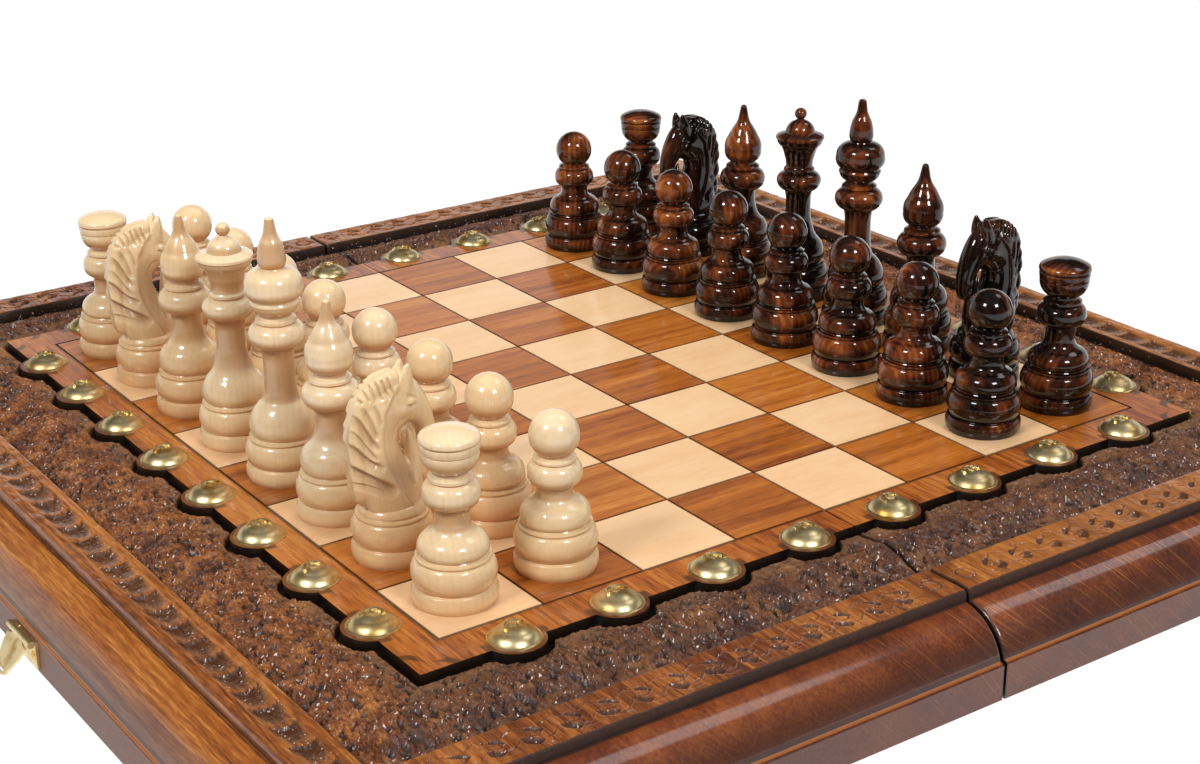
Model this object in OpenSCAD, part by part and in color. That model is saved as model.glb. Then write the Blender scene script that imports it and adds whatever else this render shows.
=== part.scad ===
// Folding carved chess board with its 32 turned and carved pieces, open and set up on a table.
// Millimetres. Origin: centre of the open board on the table, on the fold line.
// +X runs from White's end to Black's end, +Y from the h file to the a file, +Z up.

/* [Playing field] */
// Side of one square
square = 40; // [34:1:60]
// Dark gap between neighbouring squares
line_w = 0.8; // [0.4:0.1:2]
// Thickness of the square veneers
veneer_t = 1.2; // [0.6:0.1:2]
// Thickness of the raised field plate
plate_t = 5; // [3.5:0.5:7]
// Width of the plate's border outside the field
border_w = 16; // [13:0.5:26]
// Gap between the two field plates at the fold
plate_seam = 0.3; // [0.2:0.1:1]

/* [Studs] */
// Diameter of a brass stud
stud_d = 18.2; // [12:0.2:24]
// Height of a stud's dome
stud_h = 4.4; // [2:0.2:7]
// Stud centres outside the field on the long sides
stud_out_side = 13.2; // [10:0.2:20]
// Stud centres outside the field at the players' ends
stud_out_end = 12.2; // [10:0.2:20]
// Wood left around a stud
lobe_wall = 1.5; // [0.8:0.1:3]
// Diameter of a stud's nail
nail_d = 2; // [1.2:0.1:3]
// Length of a stud's nail
nail_l = 4; // [2:0.5:4.5]

/* [Carved frame] */
// Gap between the field plate and the carved ground
trench_w = 2; // [1:0.2:4]
// Width of the carved ground
ground_w = 35.6; // [30:0.5:60]
// Height of the ground's crest above the field
crest_h = 0.5; // [-1:0.1:2]
// Depth of the ground beside the rim band, below the field
ground_low = 5.5; // [3:0.1:6.5]
// Width of the ornamented rim band
band_w = 18.8; // [10:0.5:26]
// Ledge between the rim band and the moulding
ledge_w = 1; // [0.5:0.1:3]
// Drop from the band to the ledge
step_h = 4.2; // [1:0.2:5]
// Width of the rounded moulding
mould_w = 16.9; // [15.5:0.1:26]
// Height of the rounded moulding
mould_h = 15.1; // [12:0.1:20]
// How far the lower wall stands out past the moulding
wall_out = 1.1; // [0.4:0.1:3]
// Thickness of the board under the field plate
deck_t = 7; // [4:0.5:10]

/* [Lower frame] */
// Height of the side and end rails
rail_h = 13.6; // [11:0.2:20]
// Thickness of the rails
wall_t = 14; // [13.8:0.2:15.8]
// Height of the field above the rails' underside
board_h = 33.5; // [32:0.1:48]
// Gap between the two halves at the fold
seam = 1.2; // [0.8:0.1:2]
// Chamfer along the rails' upper outer edge
bead = 0.8; // [0.3:0.1:1.5]
// Diameter of a felt pad
pad_d = 10; // [6:0.5:13]
// Thickness of a felt pad
pad_h = 1.3; // [1.25:0.05:3]
// Distance of the white half's pads from the middle
pad_y_white = 225; // [150:1:232]
// Distance of the black half's pads from the middle
pad_y_black = 200; // [120:1:212]

/* [Fold hinges] */
// Distance of each hinge from the middle of the fold
hinge_y = 160; // [40:1:200]
// Length of a hinge
hinge_l = 40; // [25:1:60]
// Width of one leaf from the fold line
leaf_w = 13; // [9:0.5:14]
// Thickness of a leaf
leaf_t = 0.9; // [0.6:0.1:1.1]
// Depth of a leaf's face below the rim
leaf_sink = 0.1; // [0:0.05:0.4]
// Diameter of the knuckles
knuckle_d = 2.4; // [2.2:0.1:2.4]
// Diameter of the hinge pins
pin_d = 1.2; // [0.8:0.1:1.4]
// Radial clearance of a pin in its knuckles
pin_clear = 0.05; // [0.02:0.01:0.1]
// Gap between neighbouring knuckles
knuckle_gap = 0.2; // [0.1:0.05:0.5]
// Clearance round inlaid metal and round the knuckles
fit_clear = 0.25; // [0.1:0.05:0.4]
// Diameter of a screw's shank
screw_d = 1.9; // [1.4:0.1:2.2]
// Diameter of a screw's head
screw_head_d = 3.6; // [3:0.1:4.4]
// Length of a screw
screw_l = 8; // [4:0.5:10]
// How far the round head of a wall plate's screw stands up
screw_head_h = 0.7; // [0.4:0.1:0.8]

/* [Latches] */
// Distance of each latch from the middle of the end wall
latch_y = 39; // [30:1:150]
// Width of the wall plate
latch_w = 20; // [16:0.5:30]
// Thickness of the wall plates
latch_t = 0.8; // [0.5:0.1:1]
// Distance from a wall plate's end to its screw
plate_margin = 3; // [2.5:0.1:3.5]
// Height of the latch's pivot above the rim
latch_z = 11.3; // [10.5:0.1:11.6]
// Distance of the pivot from the wall
latch_out = 2.2; // [2.2:0.1:3]
// Diameter of the rolled barrel
barrel_d = 2.6; // [2.2:0.1:2.6]
// Length of the tongue from pivot to tip
tongue_l = 14.8; // [14.6:0.1:16]
// Greatest width of the tongue
tongue_w = 16; // [12:0.5:18]
// Thickness of the tongue
tongue_t = 0.9; // [0.6:0.1:1]
// Angle at which the tongue stands off the wall while the board lies open
tongue_rest = 35.5; // [35.5:0.5:60]
// Width of the catch's nose
nose_w = 4; // [2:0.5:6]
// How far the catch's nose stands off the wall
nose_out = 4.2; // [3.4:0.1:5]
// Thickness of the catch's nose
nose_t = 0.6; // [0.4:0.1:0.8]

/* [Pieces] */
// Greatest diameter of every piece's foot
foot_d = 29.4; // [22:0.2:34]
// Height of the foot that all pieces share
foot_h = 15.4; // [12:0.2:20]
// Height of a pawn
pawn_h = 56.6; // [48:0.2:70]
// Height of a rook
rook_h = 60.9; // [50:0.2:75]
// Height of a knight
knight_h = 69.6; // [60:0.2:85]
// Height of a bishop
bishop_h = 80.4; // [68:0.2:95]
// Height of the queen
queen_h = 87.3; // [75:0.2:105]
// Height of the king
king_h = 99.5; // [85:0.2:120]
// How far the pieces stand from their squares' centres along X
stand_x = -1; // [-4:0.5:4]
// How far the pieces stand from their squares' centres along Y
stand_y = 1; // [-4:0.5:4]

/* [Hidden] */
$fn = 64;
RANKS = 8;
HALF_RANKS = RANKS / 2;
FILES = ["h", "g", "f", "e", "d", "c", "b", "a"];

// Heights above the table
rim_z = pad_h;
rail_top = rim_z + rail_h;
ledge_z = rail_top + mould_h;
band_z = ledge_z + step_h;
field_z = rim_z + board_h;
deck_z = field_z - plate_t;
ceiling_z = deck_z - deck_t;

// Distances outward from the edge of the field
field_half = RANKS * square / 2;
trench_end = border_w + trench_w;
band_in = trench_end + ground_w;
band_out = band_in + band_w;
mould_in = band_out + ledge_w;
mould_out = mould_in + mould_w;
wall_face = mould_out + wall_out;
cavity_edge = wall_face - wall_t;
reach = field_half + wall_face;

fold_x = seam / 2;
lobe_r = stud_d / 2 + lobe_wall;
knuckle_r = knuckle_d / 2;
bore_r = pin_d / 2 + pin_clear;
inlay_clear = 0.05;
eps = 0.01;
KNUCKLES = 5;

OAK = "#8a5228";
DARK_OAK = "#3b2113";
PALE = "#e3c097";
TAN = "#9a6338";
BRASS = "#c9a75a";
MAPLE = "#ead0a4";
EBONY = "#2b130b";

// Point i of n on the arc from p to q; bulge is the rise over the chord, positive to the right
function arc_point(p, q, bulge, i, n) =
    let (c = norm(q - p), s = bulge * c, r = (c * c / 4 + s * s) / (2 * s),
         a = 2 * atan(2 * bulge) * (2 * i / n - 1), u = (q - p) / c, v = [u[1], -u[0]])
    (p + q) / 2 + u * r * sin(a) + v * (r * cos(a) - r + s);
function arc_steps(bulge) = ceil(3 + 18 * abs(bulge));
// Outline through knots [x, y, bulge of the stretch that ends there]
function outline(knots) = [
    each [[knots[0][0], knots[0][1]]],
    for (k = [1 : len(knots) - 1])
        let (p = [knots[k - 1][0], knots[k - 1][1]], q = [knots[k][0], knots[k][1]],
             b = len(knots[k]) > 2 ? knots[k][2] : 0, n = b == 0 ? 1 : arc_steps(b))
        each [for (i = [1 : n]) b == 0 ? q : arc_point(p, q, b, i, n)]
];

// Carved slab of one half, outward from the field's edge: ground, band, ledge and moulding
lip_low = field_z - 2.4;
lip_high = field_z - 1.6;
ground_knots = [
    [trench_end, deck_z], [trench_end + 0.4, lip_low], [trench_end + 1.5, lip_high],
    [trench_end + 0.4 * ground_w, field_z + crest_h, 0.04],
    [trench_end + 0.62 * ground_w, field_z - 1, 0.03],
    [trench_end + 0.76 * ground_w, field_z - 0.58 * ground_low, 0.02],
    [band_in - 1, field_z - ground_low, -0.03], [band_in, field_z - ground_low]
];
slab_profile = concat(
    [[-field_half, ceiling_z], [-field_half, deck_z]],
    outline(ground_knots),
    outline([[band_in, band_z], [band_out, band_z], [band_out, ledge_z], [mould_in, ledge_z],
             [mould_out, rail_top, -0.16]]),
    [[cavity_edge, rail_top], [cavity_edge, ceiling_z]]
);
rail_profile = [
    [cavity_edge, rim_z], [wall_face, rim_z], [wall_face, rail_top - bead],
    [wall_face - bead, rail_top], [cavity_edge, rail_top]
];

// Bar along Y at the players' end from an outline in (distance outward, height)
module end_bar(profile) {
    intersection() {
        translate([field_half, 0, 0]) rotate([90, 0, 0])
            linear_extrude(height = 2 * reach, center = true) polygon(profile);
        linear_extrude(height = 2 * board_h) polygon([[0, 0], [reach, -reach], [reach, reach]]);
        translate([fold_x, -reach, 0]) cube([reach, 2 * reach, 2 * board_h]);
    }
}
// The same bar along X on the near side, mitred to the end bar
module near_bar(profile) {
    intersection() {
        rotate([0, 0, -90]) translate([field_half, 0, 0]) rotate([90, 0, 0])
            linear_extrude(height = 2 * reach, center = true) polygon(profile);
        linear_extrude(height = 2 * board_h) polygon([[0, 0], [0, -reach], [reach, -reach]]);
        translate([fold_x, -reach, 0]) cube([reach, 2 * reach, 2 * board_h]);
    }
}
module both_sides() {
    children();
    mirror([0, 1, 0]) children();
}
// Places of the studs of one half: the long sides, then the player's end
function stud_places() = [
    for (s = [-1, 1], i = [0 : HALF_RANKS - 1]) [(i + 0.5) * square, s * (field_half + stud_out_side)],
    for (j = [0 : RANKS - 1]) [field_half + stud_out_end, (j + 0.5) * square - field_half]
];

module carved_board() {
    difference() {
        union() {
            end_bar(slab_profile);
            both_sides() near_bar(slab_profile);
        }
        for (p = stud_places())
            translate([p[0], p[1], deck_z]) cylinder(r = lobe_r + trench_w, h = board_h);
    }
}
module field_plate() {
    edge = field_half + border_w;
    difference() {
        translate([0, 0, deck_z]) union() {
            translate([plate_seam / 2, -edge, 0]) cube([edge - plate_seam / 2, 2 * edge, plate_t]);
            for (p = stud_places()) translate(p) cylinder(r = lobe_r, h = plate_t);
        }
        translate([0, -field_half - line_w / 2, field_z - veneer_t])
            cube([field_half + line_w / 2, 2 * field_half + line_w, veneer_t + 1]);
        for (p = stud_places())
            translate([p[0], p[1], field_z - nail_l - inlay_clear])
                cylinder(d = nail_d + 2 * inlay_clear, h = nail_l + 1, $fn = 24);
    }
}
// Square veneers of one half whose rank plus file is even (0) or odd (1)
module squares(parity) {
    side = square - line_w;
    for (i = [0 : HALF_RANKS - 1], j = [0 : RANKS - 1])
        if ((i + j) % 2 == parity)
            translate([i * square + line_w / 2, j * square - field_half + line_w / 2, field_z - veneer_t])
                cube([side, side, veneer_t]);
}
module stud() {
    flange = 0.6;
    dome_r = stud_d / 2 - 0.9;
    rotate_extrude(convexity = 4) polygon(concat(
        [[0, -nail_l], [nail_d / 2, -nail_l + 1], [nail_d / 2, 0], [stud_d / 2, 0]],
        outline([[stud_d / 2, flange * 0.6], [dome_r, flange, 0.1], [dome_r * 0.62, stud_h * 0.72, 0.1],
                 [0, stud_h, 0.09]])
    ));
}
module studs() {
    for (p = stud_places()) translate([p[0], p[1], field_z]) stud();
}

module side_rails() {
    both_sides() near_bar(rail_profile);
}
module spine_rail() {
    inner = field_half + cavity_edge;
    difference() {
        translate([fold_x, -inner, rim_z]) cube([wall_t, 2 * inner, ceiling_z - rim_z]);
        for (s = [-1, 1]) translate([0, s * hinge_y, rim_z]) {
            translate([0, -hinge_l / 2 - inlay_clear, -1])
                cube([leaf_w + inlay_clear, hinge_l + 2 * inlay_clear,
                      1 + leaf_sink + leaf_t + inlay_clear]);
            rotate([90, 0, 0])
                cylinder(r = knuckle_r + fit_clear, h = hinge_l + 2 * fit_clear, center = true);
            for (p = hinge_screw_places()) translate(p)
                cylinder(d = screw_d + 2 * inlay_clear, h = leaf_sink + screw_l + inlay_clear, $fn = 24);
        }
    }
}
module felt_pads(y) {
    for (s = [-1, 1]) translate([reach - wall_t / 2, s * y, 0]) cylinder(d = pad_d, h = pad_h);
}

// Screw places on one hinge leaf
function hinge_screw_places() = [for (k = [-1, 0, 1])
    [leaf_w * (k == 0 ? 0.72 : 0.5), k * hinge_l * 0.35, 0]];
pitch = hinge_l / KNUCKLES;
// Leaves of one side of both hinges: knuckles numbered first, first + 2 and so on
module hinge_leaves(first) {
    for (s = [-1, 1]) translate([0, s * hinge_y, rim_z]) difference() {
        union() {
            translate([knuckle_r + fit_clear, -hinge_l / 2, leaf_sink])
                cube([leaf_w - knuckle_r - fit_clear, hinge_l, leaf_t]);
            for (k = [first : 2 : KNUCKLES - 1])
                translate([0, -hinge_l / 2 + k * pitch + knuckle_gap / 2, 0]) {
                    translate([0, 0, leaf_sink])
                        cube([leaf_w / 2, pitch - knuckle_gap, leaf_t]);
                    rotate([-90, 0, 0]) cylinder(r = knuckle_r, h = pitch - knuckle_gap);
                }
        }
        rotate([90, 0, 0]) cylinder(r = bore_r, h = hinge_l + 2, center = true);
        for (p = hinge_screw_places()) translate([p[0], p[1], leaf_sink]) {
            translate([0, 0, -1]) cylinder(d = screw_d + 2 * inlay_clear, h = leaf_t + 2, $fn = 24);
            cylinder(d1 = screw_head_d + 2 * inlay_clear, d2 = screw_d + 2 * inlay_clear, h = leaf_t);
        }
    }
}
module hinge_pins() {
    for (s = [-1, 1]) translate([0, s * hinge_y, rim_z])
        rotate([90, 0, 0]) cylinder(d = pin_d, h = hinge_l, center = true);
}
module hinge_screws() {
    for (s = [-1, 1]) translate([0, s * hinge_y, rim_z + leaf_sink])
        for (p = hinge_screw_places()) translate(p) rotate_extrude($fn = 24) polygon([
            [0, 0], [screw_head_d / 2, 0], [screw_d / 2, leaf_t], [screw_d / 2, screw_l - 2], [0, screw_l]
        ]);
}

// Round-headed screw driven into the end wall, pointing inward
module wall_screw() {
    rotate([0, -90, 0]) rotate_extrude($fn = 24) polygon(concat(
        [[0, -screw_head_h]], outline([[0, -screw_head_h], [screw_head_d / 2, 0, 0.12]]),
        [[screw_d / 2, 0], [screw_d / 2, screw_l - 2], [0, screw_l]]
    ));
}
module wall_screw_hole() {
    rotate([0, -90, 0]) translate([0, 0, -2])
        cylinder(d = screw_d + 2 * inlay_clear, h = screw_l + 2 + inlay_clear, $fn = 24);
}
catch_base = 0.4;
latch_screw_y = latch_w / 2 - plate_margin;
latch_screw_z = latch_z / 2;
catch_w = latch_w - 2 * plate_margin;
catch_h = rail_h * 0.66;
catch_screw_y = catch_w / 2 - plate_margin;
catch_screw_z = latch_z * 0.55;
tongue_knuckle = latch_w * 0.48;
// Screw places of the white half's latch plates and of the black half's catches
module at_latch_screws() {
    for (s = [-1, 1], t = [-1, 1])
        translate([reach, s * latch_y + t * latch_screw_y, rim_z + latch_screw_z]) children();
}
module at_catch_screws() {
    for (s = [-1, 1], t = [-1, 1])
        translate([reach, s * latch_y + t * catch_screw_y, rim_z + catch_screw_z]) children();
}
module end_rail(for_latch) {
    difference() {
        end_bar(rail_profile);
        if (for_latch) at_latch_screws() wall_screw_hole();
        else at_catch_screws() wall_screw_hole();
    }
}
module latch_plates() {
    for (s = [-1, 1]) translate([reach, s * latch_y, rim_z]) difference() {
        union() {
            translate([0, -latch_w / 2, 1.5]) cube([latch_t, latch_w, latch_z - 1.5 + 0.4]);
            for (t = [-1, 1]) {
                y0 = t > 0 ? tongue_knuckle / 2 + knuckle_gap : -latch_w / 2;
                len_y = latch_w / 2 - tongue_knuckle / 2 - knuckle_gap;
                translate([0, y0, latch_z - barrel_d / 4]) cube([latch_out, len_y, barrel_d / 2]);
                translate([latch_out, y0, latch_z]) rotate([-90, 0, 0]) cylinder(d = barrel_d, h = len_y);
            }
        }
        translate([latch_out, 0, latch_z]) rotate([90, 0, 0])
            cylinder(r = bore_r, h = latch_w + 2, center = true);
        for (t = [-1, 1]) translate([0, t * latch_screw_y, latch_screw_z]) rotate([0, 90, 0])
            cylinder(d = screw_d + 2 * inlay_clear, h = 4 * latch_t, center = true, $fn = 24);
    }
    at_latch_screws() translate([latch_t, 0, 0]) wall_screw();
}
module latch_pins() {
    for (s = [-1, 1]) translate([reach + latch_out, s * latch_y, rim_z + latch_z])
        rotate([90, 0, 0]) cylinder(d = pin_d, h = latch_w, center = true);
}
// Hanging tongue with a rolled knuckle and a window for the catch's nose
module latch_tongue(side) {
    shoulder = barrel_d / 2 + 0.5;
    tip = tongue_l;
    window = tongue_l - 1.9;
    translate([reach + latch_out, side * latch_y, rim_z + latch_z])
        rotate([0, -tongue_rest, 0]) difference() {
            union() {
                rotate([90, 0, 0]) cylinder(d = barrel_d, h = tongue_knuckle, center = true);
                translate([-tongue_t / 2, 0, 0]) rotate([90, 0, 90]) linear_extrude(height = tongue_t)
                    polygon([for (t = [-1, 1]) each [for (k = t < 0 ? [0 : 6] : [6 : -1 : 0])
                        [t * [tongue_knuckle / 2, tongue_knuckle / 2, tongue_w / 2, tongue_w * 0.46,
                              tongue_w * 0.3, tongue_w * 0.26, tongue_w * 0.12][k],
                         -[0, shoulder, shoulder + 0.6, tip * 0.45, tip * 0.8, tip - 1, tip][k]]]]);
            }
            rotate([90, 0, 0]) cylinder(r = bore_r, h = tongue_w, center = true);
            translate([-tongue_t, -nose_w / 2 - fit_clear, -window - nose_t - 0.5])
                cube([2 * tongue_t, nose_w + 2 * fit_clear, nose_t + 0.5]);
        }
}
module latch_catches() {
    for (s = [-1, 1]) translate([reach, s * latch_y, rim_z]) difference() {
        union() {
            translate([0, -catch_w / 2, catch_base]) cube([latch_t, catch_w, catch_h]);
            translate([0, -nose_w / 2, catch_base]) cube([nose_out, nose_w, nose_t]);
        }
        for (t = [-1, 1]) translate([0, t * catch_screw_y, catch_screw_z]) rotate([0, 90, 0])
            cylinder(d = screw_d + 2 * inlay_clear, h = 4 * latch_t, center = true, $fn = 24);
    }
    at_catch_screws() translate([latch_t, 0, 0]) wall_screw();
}

// Knots of the turned outlines, [radius, height, bulge], drawn for a foot 29.4 wide and 15.4 high
FOOT_D0 = 29.4;
FOOT_H0 = 15.4;
FOOT = [
    [13.9, 0], [14.1, 5.4, 0.12], [13.3, 6.1, 0.2], [13.1, 6.3], [12.9, 15.1, 0.16],
    [12.4, 15.4], [12.6, 15.7], [12.6, 16.6, 0.15], [11.5, 16.9], [11.3, 17.2]
];
PAWN = [
    [12, 19.6, 0.14], [9.2, 24.2, 0.14], [6.7, 26.2, -0.08], [6.2, 28.5, -0.05], [6.3, 30.4, -0.03],
    [9.3, 35, 0.2], [7.4, 38.7, 0.14], [7, 38.9], [6.9, 40.4, 0.3], [5.6, 41], [5.5, 41.4],
    [0, 56.6, 0.35]
];
ROOK = [
    [12, 19.2, 0.12], [8.9, 23.9, 0.14], [6.4, 26.4, -0.08], [5.9, 29.5, -0.05], [6.1, 33.4, -0.03],
    [9.6, 38.9, 0.2], [7.6, 42.4, 0.14], [7.1, 42.7], [6.9, 44.7, 0.3], [5.9, 45.3], [5.8, 46],
    [9.6, 51.9, 0.14], [9.6, 52.6], [9.2, 52.9], [9.7, 53.3], [9.9, 55.5, 0.03], [9.5, 55.9],
    [10, 56.3], [10.1, 57.6, 0.1], [8.9, 58.9, 0.15], [0, 60.9, 0.07]
];
BISHOP = [
    [12.1, 21.5, 0.1], [9.2, 27, 0.12], [6.6, 32, -0.08], [6, 37, -0.04], [6.2, 40.8, -0.03],
    [10.4, 46.6, 0.2], [7.9, 50.2, 0.13], [7.3, 50.5], [6.9, 52.6, 0.3], [5.9, 53.2], [5.8, 54.2],
    [8.4, 59.6, 0.16], [6.9, 65.8, 0.1], [3.8, 71.3, 0.03], [2.2, 75.5, -0.05], [1.4, 79.4],
    [0, 80.4, 0.2]
];
QUEEN = [
    [12.2, 22, 0.1], [9, 28, 0.08], [6.9, 33, -0.06], [5.6, 39, -0.03], [5.6, 45], [6.4, 50, -0.05],
    [9.9, 55.2, 0.18], [7, 58.2, 0.14], [6.4, 58.5], [6.2, 60.6, 0.3], [5.9, 61.2], [6.8, 66, -0.04],
    [8.6, 70.5, -0.05], [10.3, 73.2, 0.12], [9.9, 75.4, 0.3], [6.6, 76.4], [2.2, 81.8, 0.16],
    [1.4, 82.5], [0, 87.3, 0.4]
];
KING = [
    [12.1, 22, 0.1], [10.5, 26.5, 0.06], [7.2, 30.2, 0.05], [5.9, 35, -0.06], [5.7, 40], [5.7, 46],
    [6.4, 51, -0.03], [10.4, 56.2, 0.18], [7.9, 60, 0.13], [7.2, 60.3], [6.7, 62.4, 0.3], [5.9, 63.1],
    [6, 64], [8.9, 67.6, 0.14], [8.9, 68.6, 0.2], [8.6, 69.2], [8.7, 69.7], [10.5, 74.8, 0.16],
    [8.2, 79.6, 0.12], [4.8, 80.9, 0.04], [4.6, 81.3], [5.1, 85, 0.08], [3.9, 90.7, 0.04],
    [2.3, 94.4, -0.03], [1.8, 98.2], [0, 99.5, 0.25]
];
// A knot stretched to this set's foot and to a height h, from an outline drawn h0 high
function fitted(k, h, h0) = [
    k[0] * foot_d / FOOT_D0,
    k[1] <= FOOT_H0 ? k[1] * foot_h / FOOT_H0
                    : foot_h + (k[1] - FOOT_H0) * (h - foot_h) / (h0 - FOOT_H0),
    len(k) > 2 ? k[2] : 0
];
module turned(knots, h) {
    h0 = knots[len(knots) - 1][1];
    all = concat(FOOT, knots);
    rotate_extrude(convexity = 6)
        polygon(concat([[0, 0]], outline([for (k = all) fitted(k, h, h0)])));
}

// Stations of the knight's neck and head: x, z, heading of the tube, half depth, half width
NECK = [
    [0.5, 17, 90, 9.6, 9], [-1, 24, 92, 10.6, 8.4], [-3, 31, 92, 10, 7.4], [-4.3, 37.5, 88, 8.9, 6.8],
    [-4.8, 43.5, 82, 8.4, 6.4], [-4.4, 49.5, 70, 8.2, 6], [-2.2, 54.6, 48, 8.1, 5.8],
    [1.8, 57.6, 22, 7.8, 5.4], [6, 57.2, -8, 6.8, 5], [9.4, 54.2, -34, 5.8, 4.6],
    [11, 49.8, -58, 4.8, 4.2], [11.6, 45, -74, 4.1, 3.8], [11.6, 41, -84, 3.5, 3.4],
    [11.4, 37.8, -90, 2.4, 2.6]
];
// Stations of the mane, from the tuft over the foot up the back to the forelock
MANE = [
    [-10.8, 22, 98, 1.6, 1.8], [-11, 24.8, 96, 3.2, 3.3], [-11.3, 30, 94, 3.7, 3.6],
    [-11.6, 36.8, 90, 3.6, 3.6], [-11.8, 44.2, 84, 3.6, 3.5], [-11, 51.6, 72, 3.6, 3.3],
    [-8, 58.4, 56, 3.6, 3], [-3, 63, 38, 3.4, 2.6], [3, 64.4, 12, 2.8, 2.2]
];
EAR = [
    [0.6, 60, 100, 2.4, 2.2], [0.3, 64, 98, 2, 1.7], [0, 67, 94, 1.4, 1.1], [-0.2, 69.6, 92, 0.5, 0.4]
];
KNIGHT_H0 = 69.6;
EAR_Y = 2.7;
NECK_Z0 = 16.9;
// Smooth tube through stations, each section an ellipse square to its heading in the XZ plane
module limb(stations, sides, phase = 0) {
    n = len(stations);
    points = [for (s = stations, k = [0 : sides - 1])
        let (a = 360 * (k + phase) / sides, back = s[2] + 90)
        [s[0] + s[3] * cos(a) * cos(back), s[4] * sin(a), s[1] + s[3] * cos(a) * sin(back)]];
    skin = [for (i = [0 : n - 2], k = [0 : sides - 1])
        let (a = i * sides + k, b = i * sides + (k + 1) % sides)
        each [[a, b, b + sides], [a, b + sides, a + sides]]];
    first = [for (k = [sides - 1 : -1 : 0]) k];
    last = [for (k = [0 : sides - 1]) (n - 1) * sides + k];
    polyhedron(points = points, faces = concat([first], skin, [last]), convexity = 6);
}
module knight_carving() {
    limb(NECK, 16);
    limb(MANE, 12, 0.5);
    for (s = [-1, 1]) translate([0, EAR_Y * s, 0]) limb(EAR, 8, 0.25);
}
module knight() {
    neck_z = foot_h + 1.5;
    k = (knight_h - neck_z) / (KNIGHT_H0 - NECK_Z0);
    rotate_extrude(convexity = 4) polygon(concat([[0, 0]], outline([for (q = concat(FOOT,
        [[11.5, 18, 0.2], [8.8, 20.6, 0.12], [0, 21]])) fitted(q, knight_h, KNIGHT_H0)])));
    translate([0, 0, neck_z - NECK_Z0 * k]) scale(k) knight_carving();
}

// One piece by kind, standing at the origin and facing +X
module piece(kind) {
    if (kind == "pawn") turned(PAWN, pawn_h);
    if (kind == "rook") turned(ROOK, rook_h);
    if (kind == "knight") knight();
    if (kind == "bishop") turned(BISHOP, bishop_h);
    if (kind == "queen") turned(QUEEN, queen_h);
    if (kind == "king") turned(KING, king_h);
}
BACK_KINDS = ["rook", "knight", "bishop", "king", "queen", "bishop", "knight", "rook"];
// Name of the officer on file j: only the king and the queen need no file letter
function officer(side, j) = let (kind = BACK_KINDS[j])
    kind == "king" || kind == "queen" ? str(side, "_", kind) : str(side, "_", kind, "_", FILES[j]);
// Puts a piece on rank i and file j, facing the other side
module on_square(i, j, turn) {
    translate([(i + 0.5) * square - field_half + stand_x,
               (j + 0.5) * square - field_half + stand_y, field_z]) rotate([0, 0, turn]) children();
}
module white_half() {
    mirror([1, 0, 0]) children();
}

color(DARK_OAK) white_half() carved_board();  // white_carved_board
color(OAK) white_half() field_plate();  // white_field_plate
color(PALE) white_half() squares(1);  // white_light_squares
color(TAN) white_half() squares(0);  // white_dark_squares
color(BRASS) white_half() studs();  // white_studs
color(OAK) white_half() side_rails();  // white_side_rails
color(OAK) white_half() end_rail(true);  // white_end_rail
color(OAK) white_half() spine_rail();  // white_spine_rail
color("#2c3a2a") white_half() felt_pads(pad_y_white);  // white_felt_pads
color(DARK_OAK) carved_board();  // black_carved_board
color(OAK) field_plate();  // black_field_plate
color(PALE) squares(0);  // black_light_squares
color(TAN) squares(1);  // black_dark_squares
color(BRASS) studs();  // black_studs
color(OAK) side_rails();  // black_side_rails
color(OAK) end_rail(false);  // black_end_rail
color(OAK) spine_rail();  // black_spine_rail
color("#2c3a2a") felt_pads(pad_y_black);  // black_felt_pads
color(BRASS) white_half() hinge_leaves(0);  // hinge_leaves_white
color(BRASS) hinge_leaves(1);  // hinge_leaves_black
color(BRASS) hinge_pins();
color(BRASS) white_half() hinge_screws();  // hinge_screws_white
color(BRASS) hinge_screws();  // hinge_screws_black
color(BRASS) white_half() latch_plates();
color(BRASS) white_half() latch_pins();
color(BRASS) white_half() latch_tongue(-1);  // latch_tongue_near
color(BRASS) white_half() latch_tongue(1);  // latch_tongue_far
color(BRASS) latch_catches();
for (j = [0 : RANKS - 1]) {
    color(MAPLE) on_square(0, j, 0) piece(BACK_KINDS[j]);
    color(MAPLE) on_square(1, j, 0) piece("pawn");
    color(EBONY) on_square(7, j, 180) piece(BACK_KINDS[j]);
    color(EBONY) on_square(6, j, 180) piece("pawn");
}
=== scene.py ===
# %% [markdown]
# # A folding carved chess board with its thirty-two pieces
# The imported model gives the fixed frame: every solid at its real size, in metres, with the origin
# at the middle of the open board on the table. The looks are built round it here, one piece and
# one finish at a time. Lengths that belong to this object are written in millimetres times MM.

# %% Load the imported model
import math

import bmesh
import bpy
import numpy as np
from mathutils import Matrix, Vector


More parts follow.
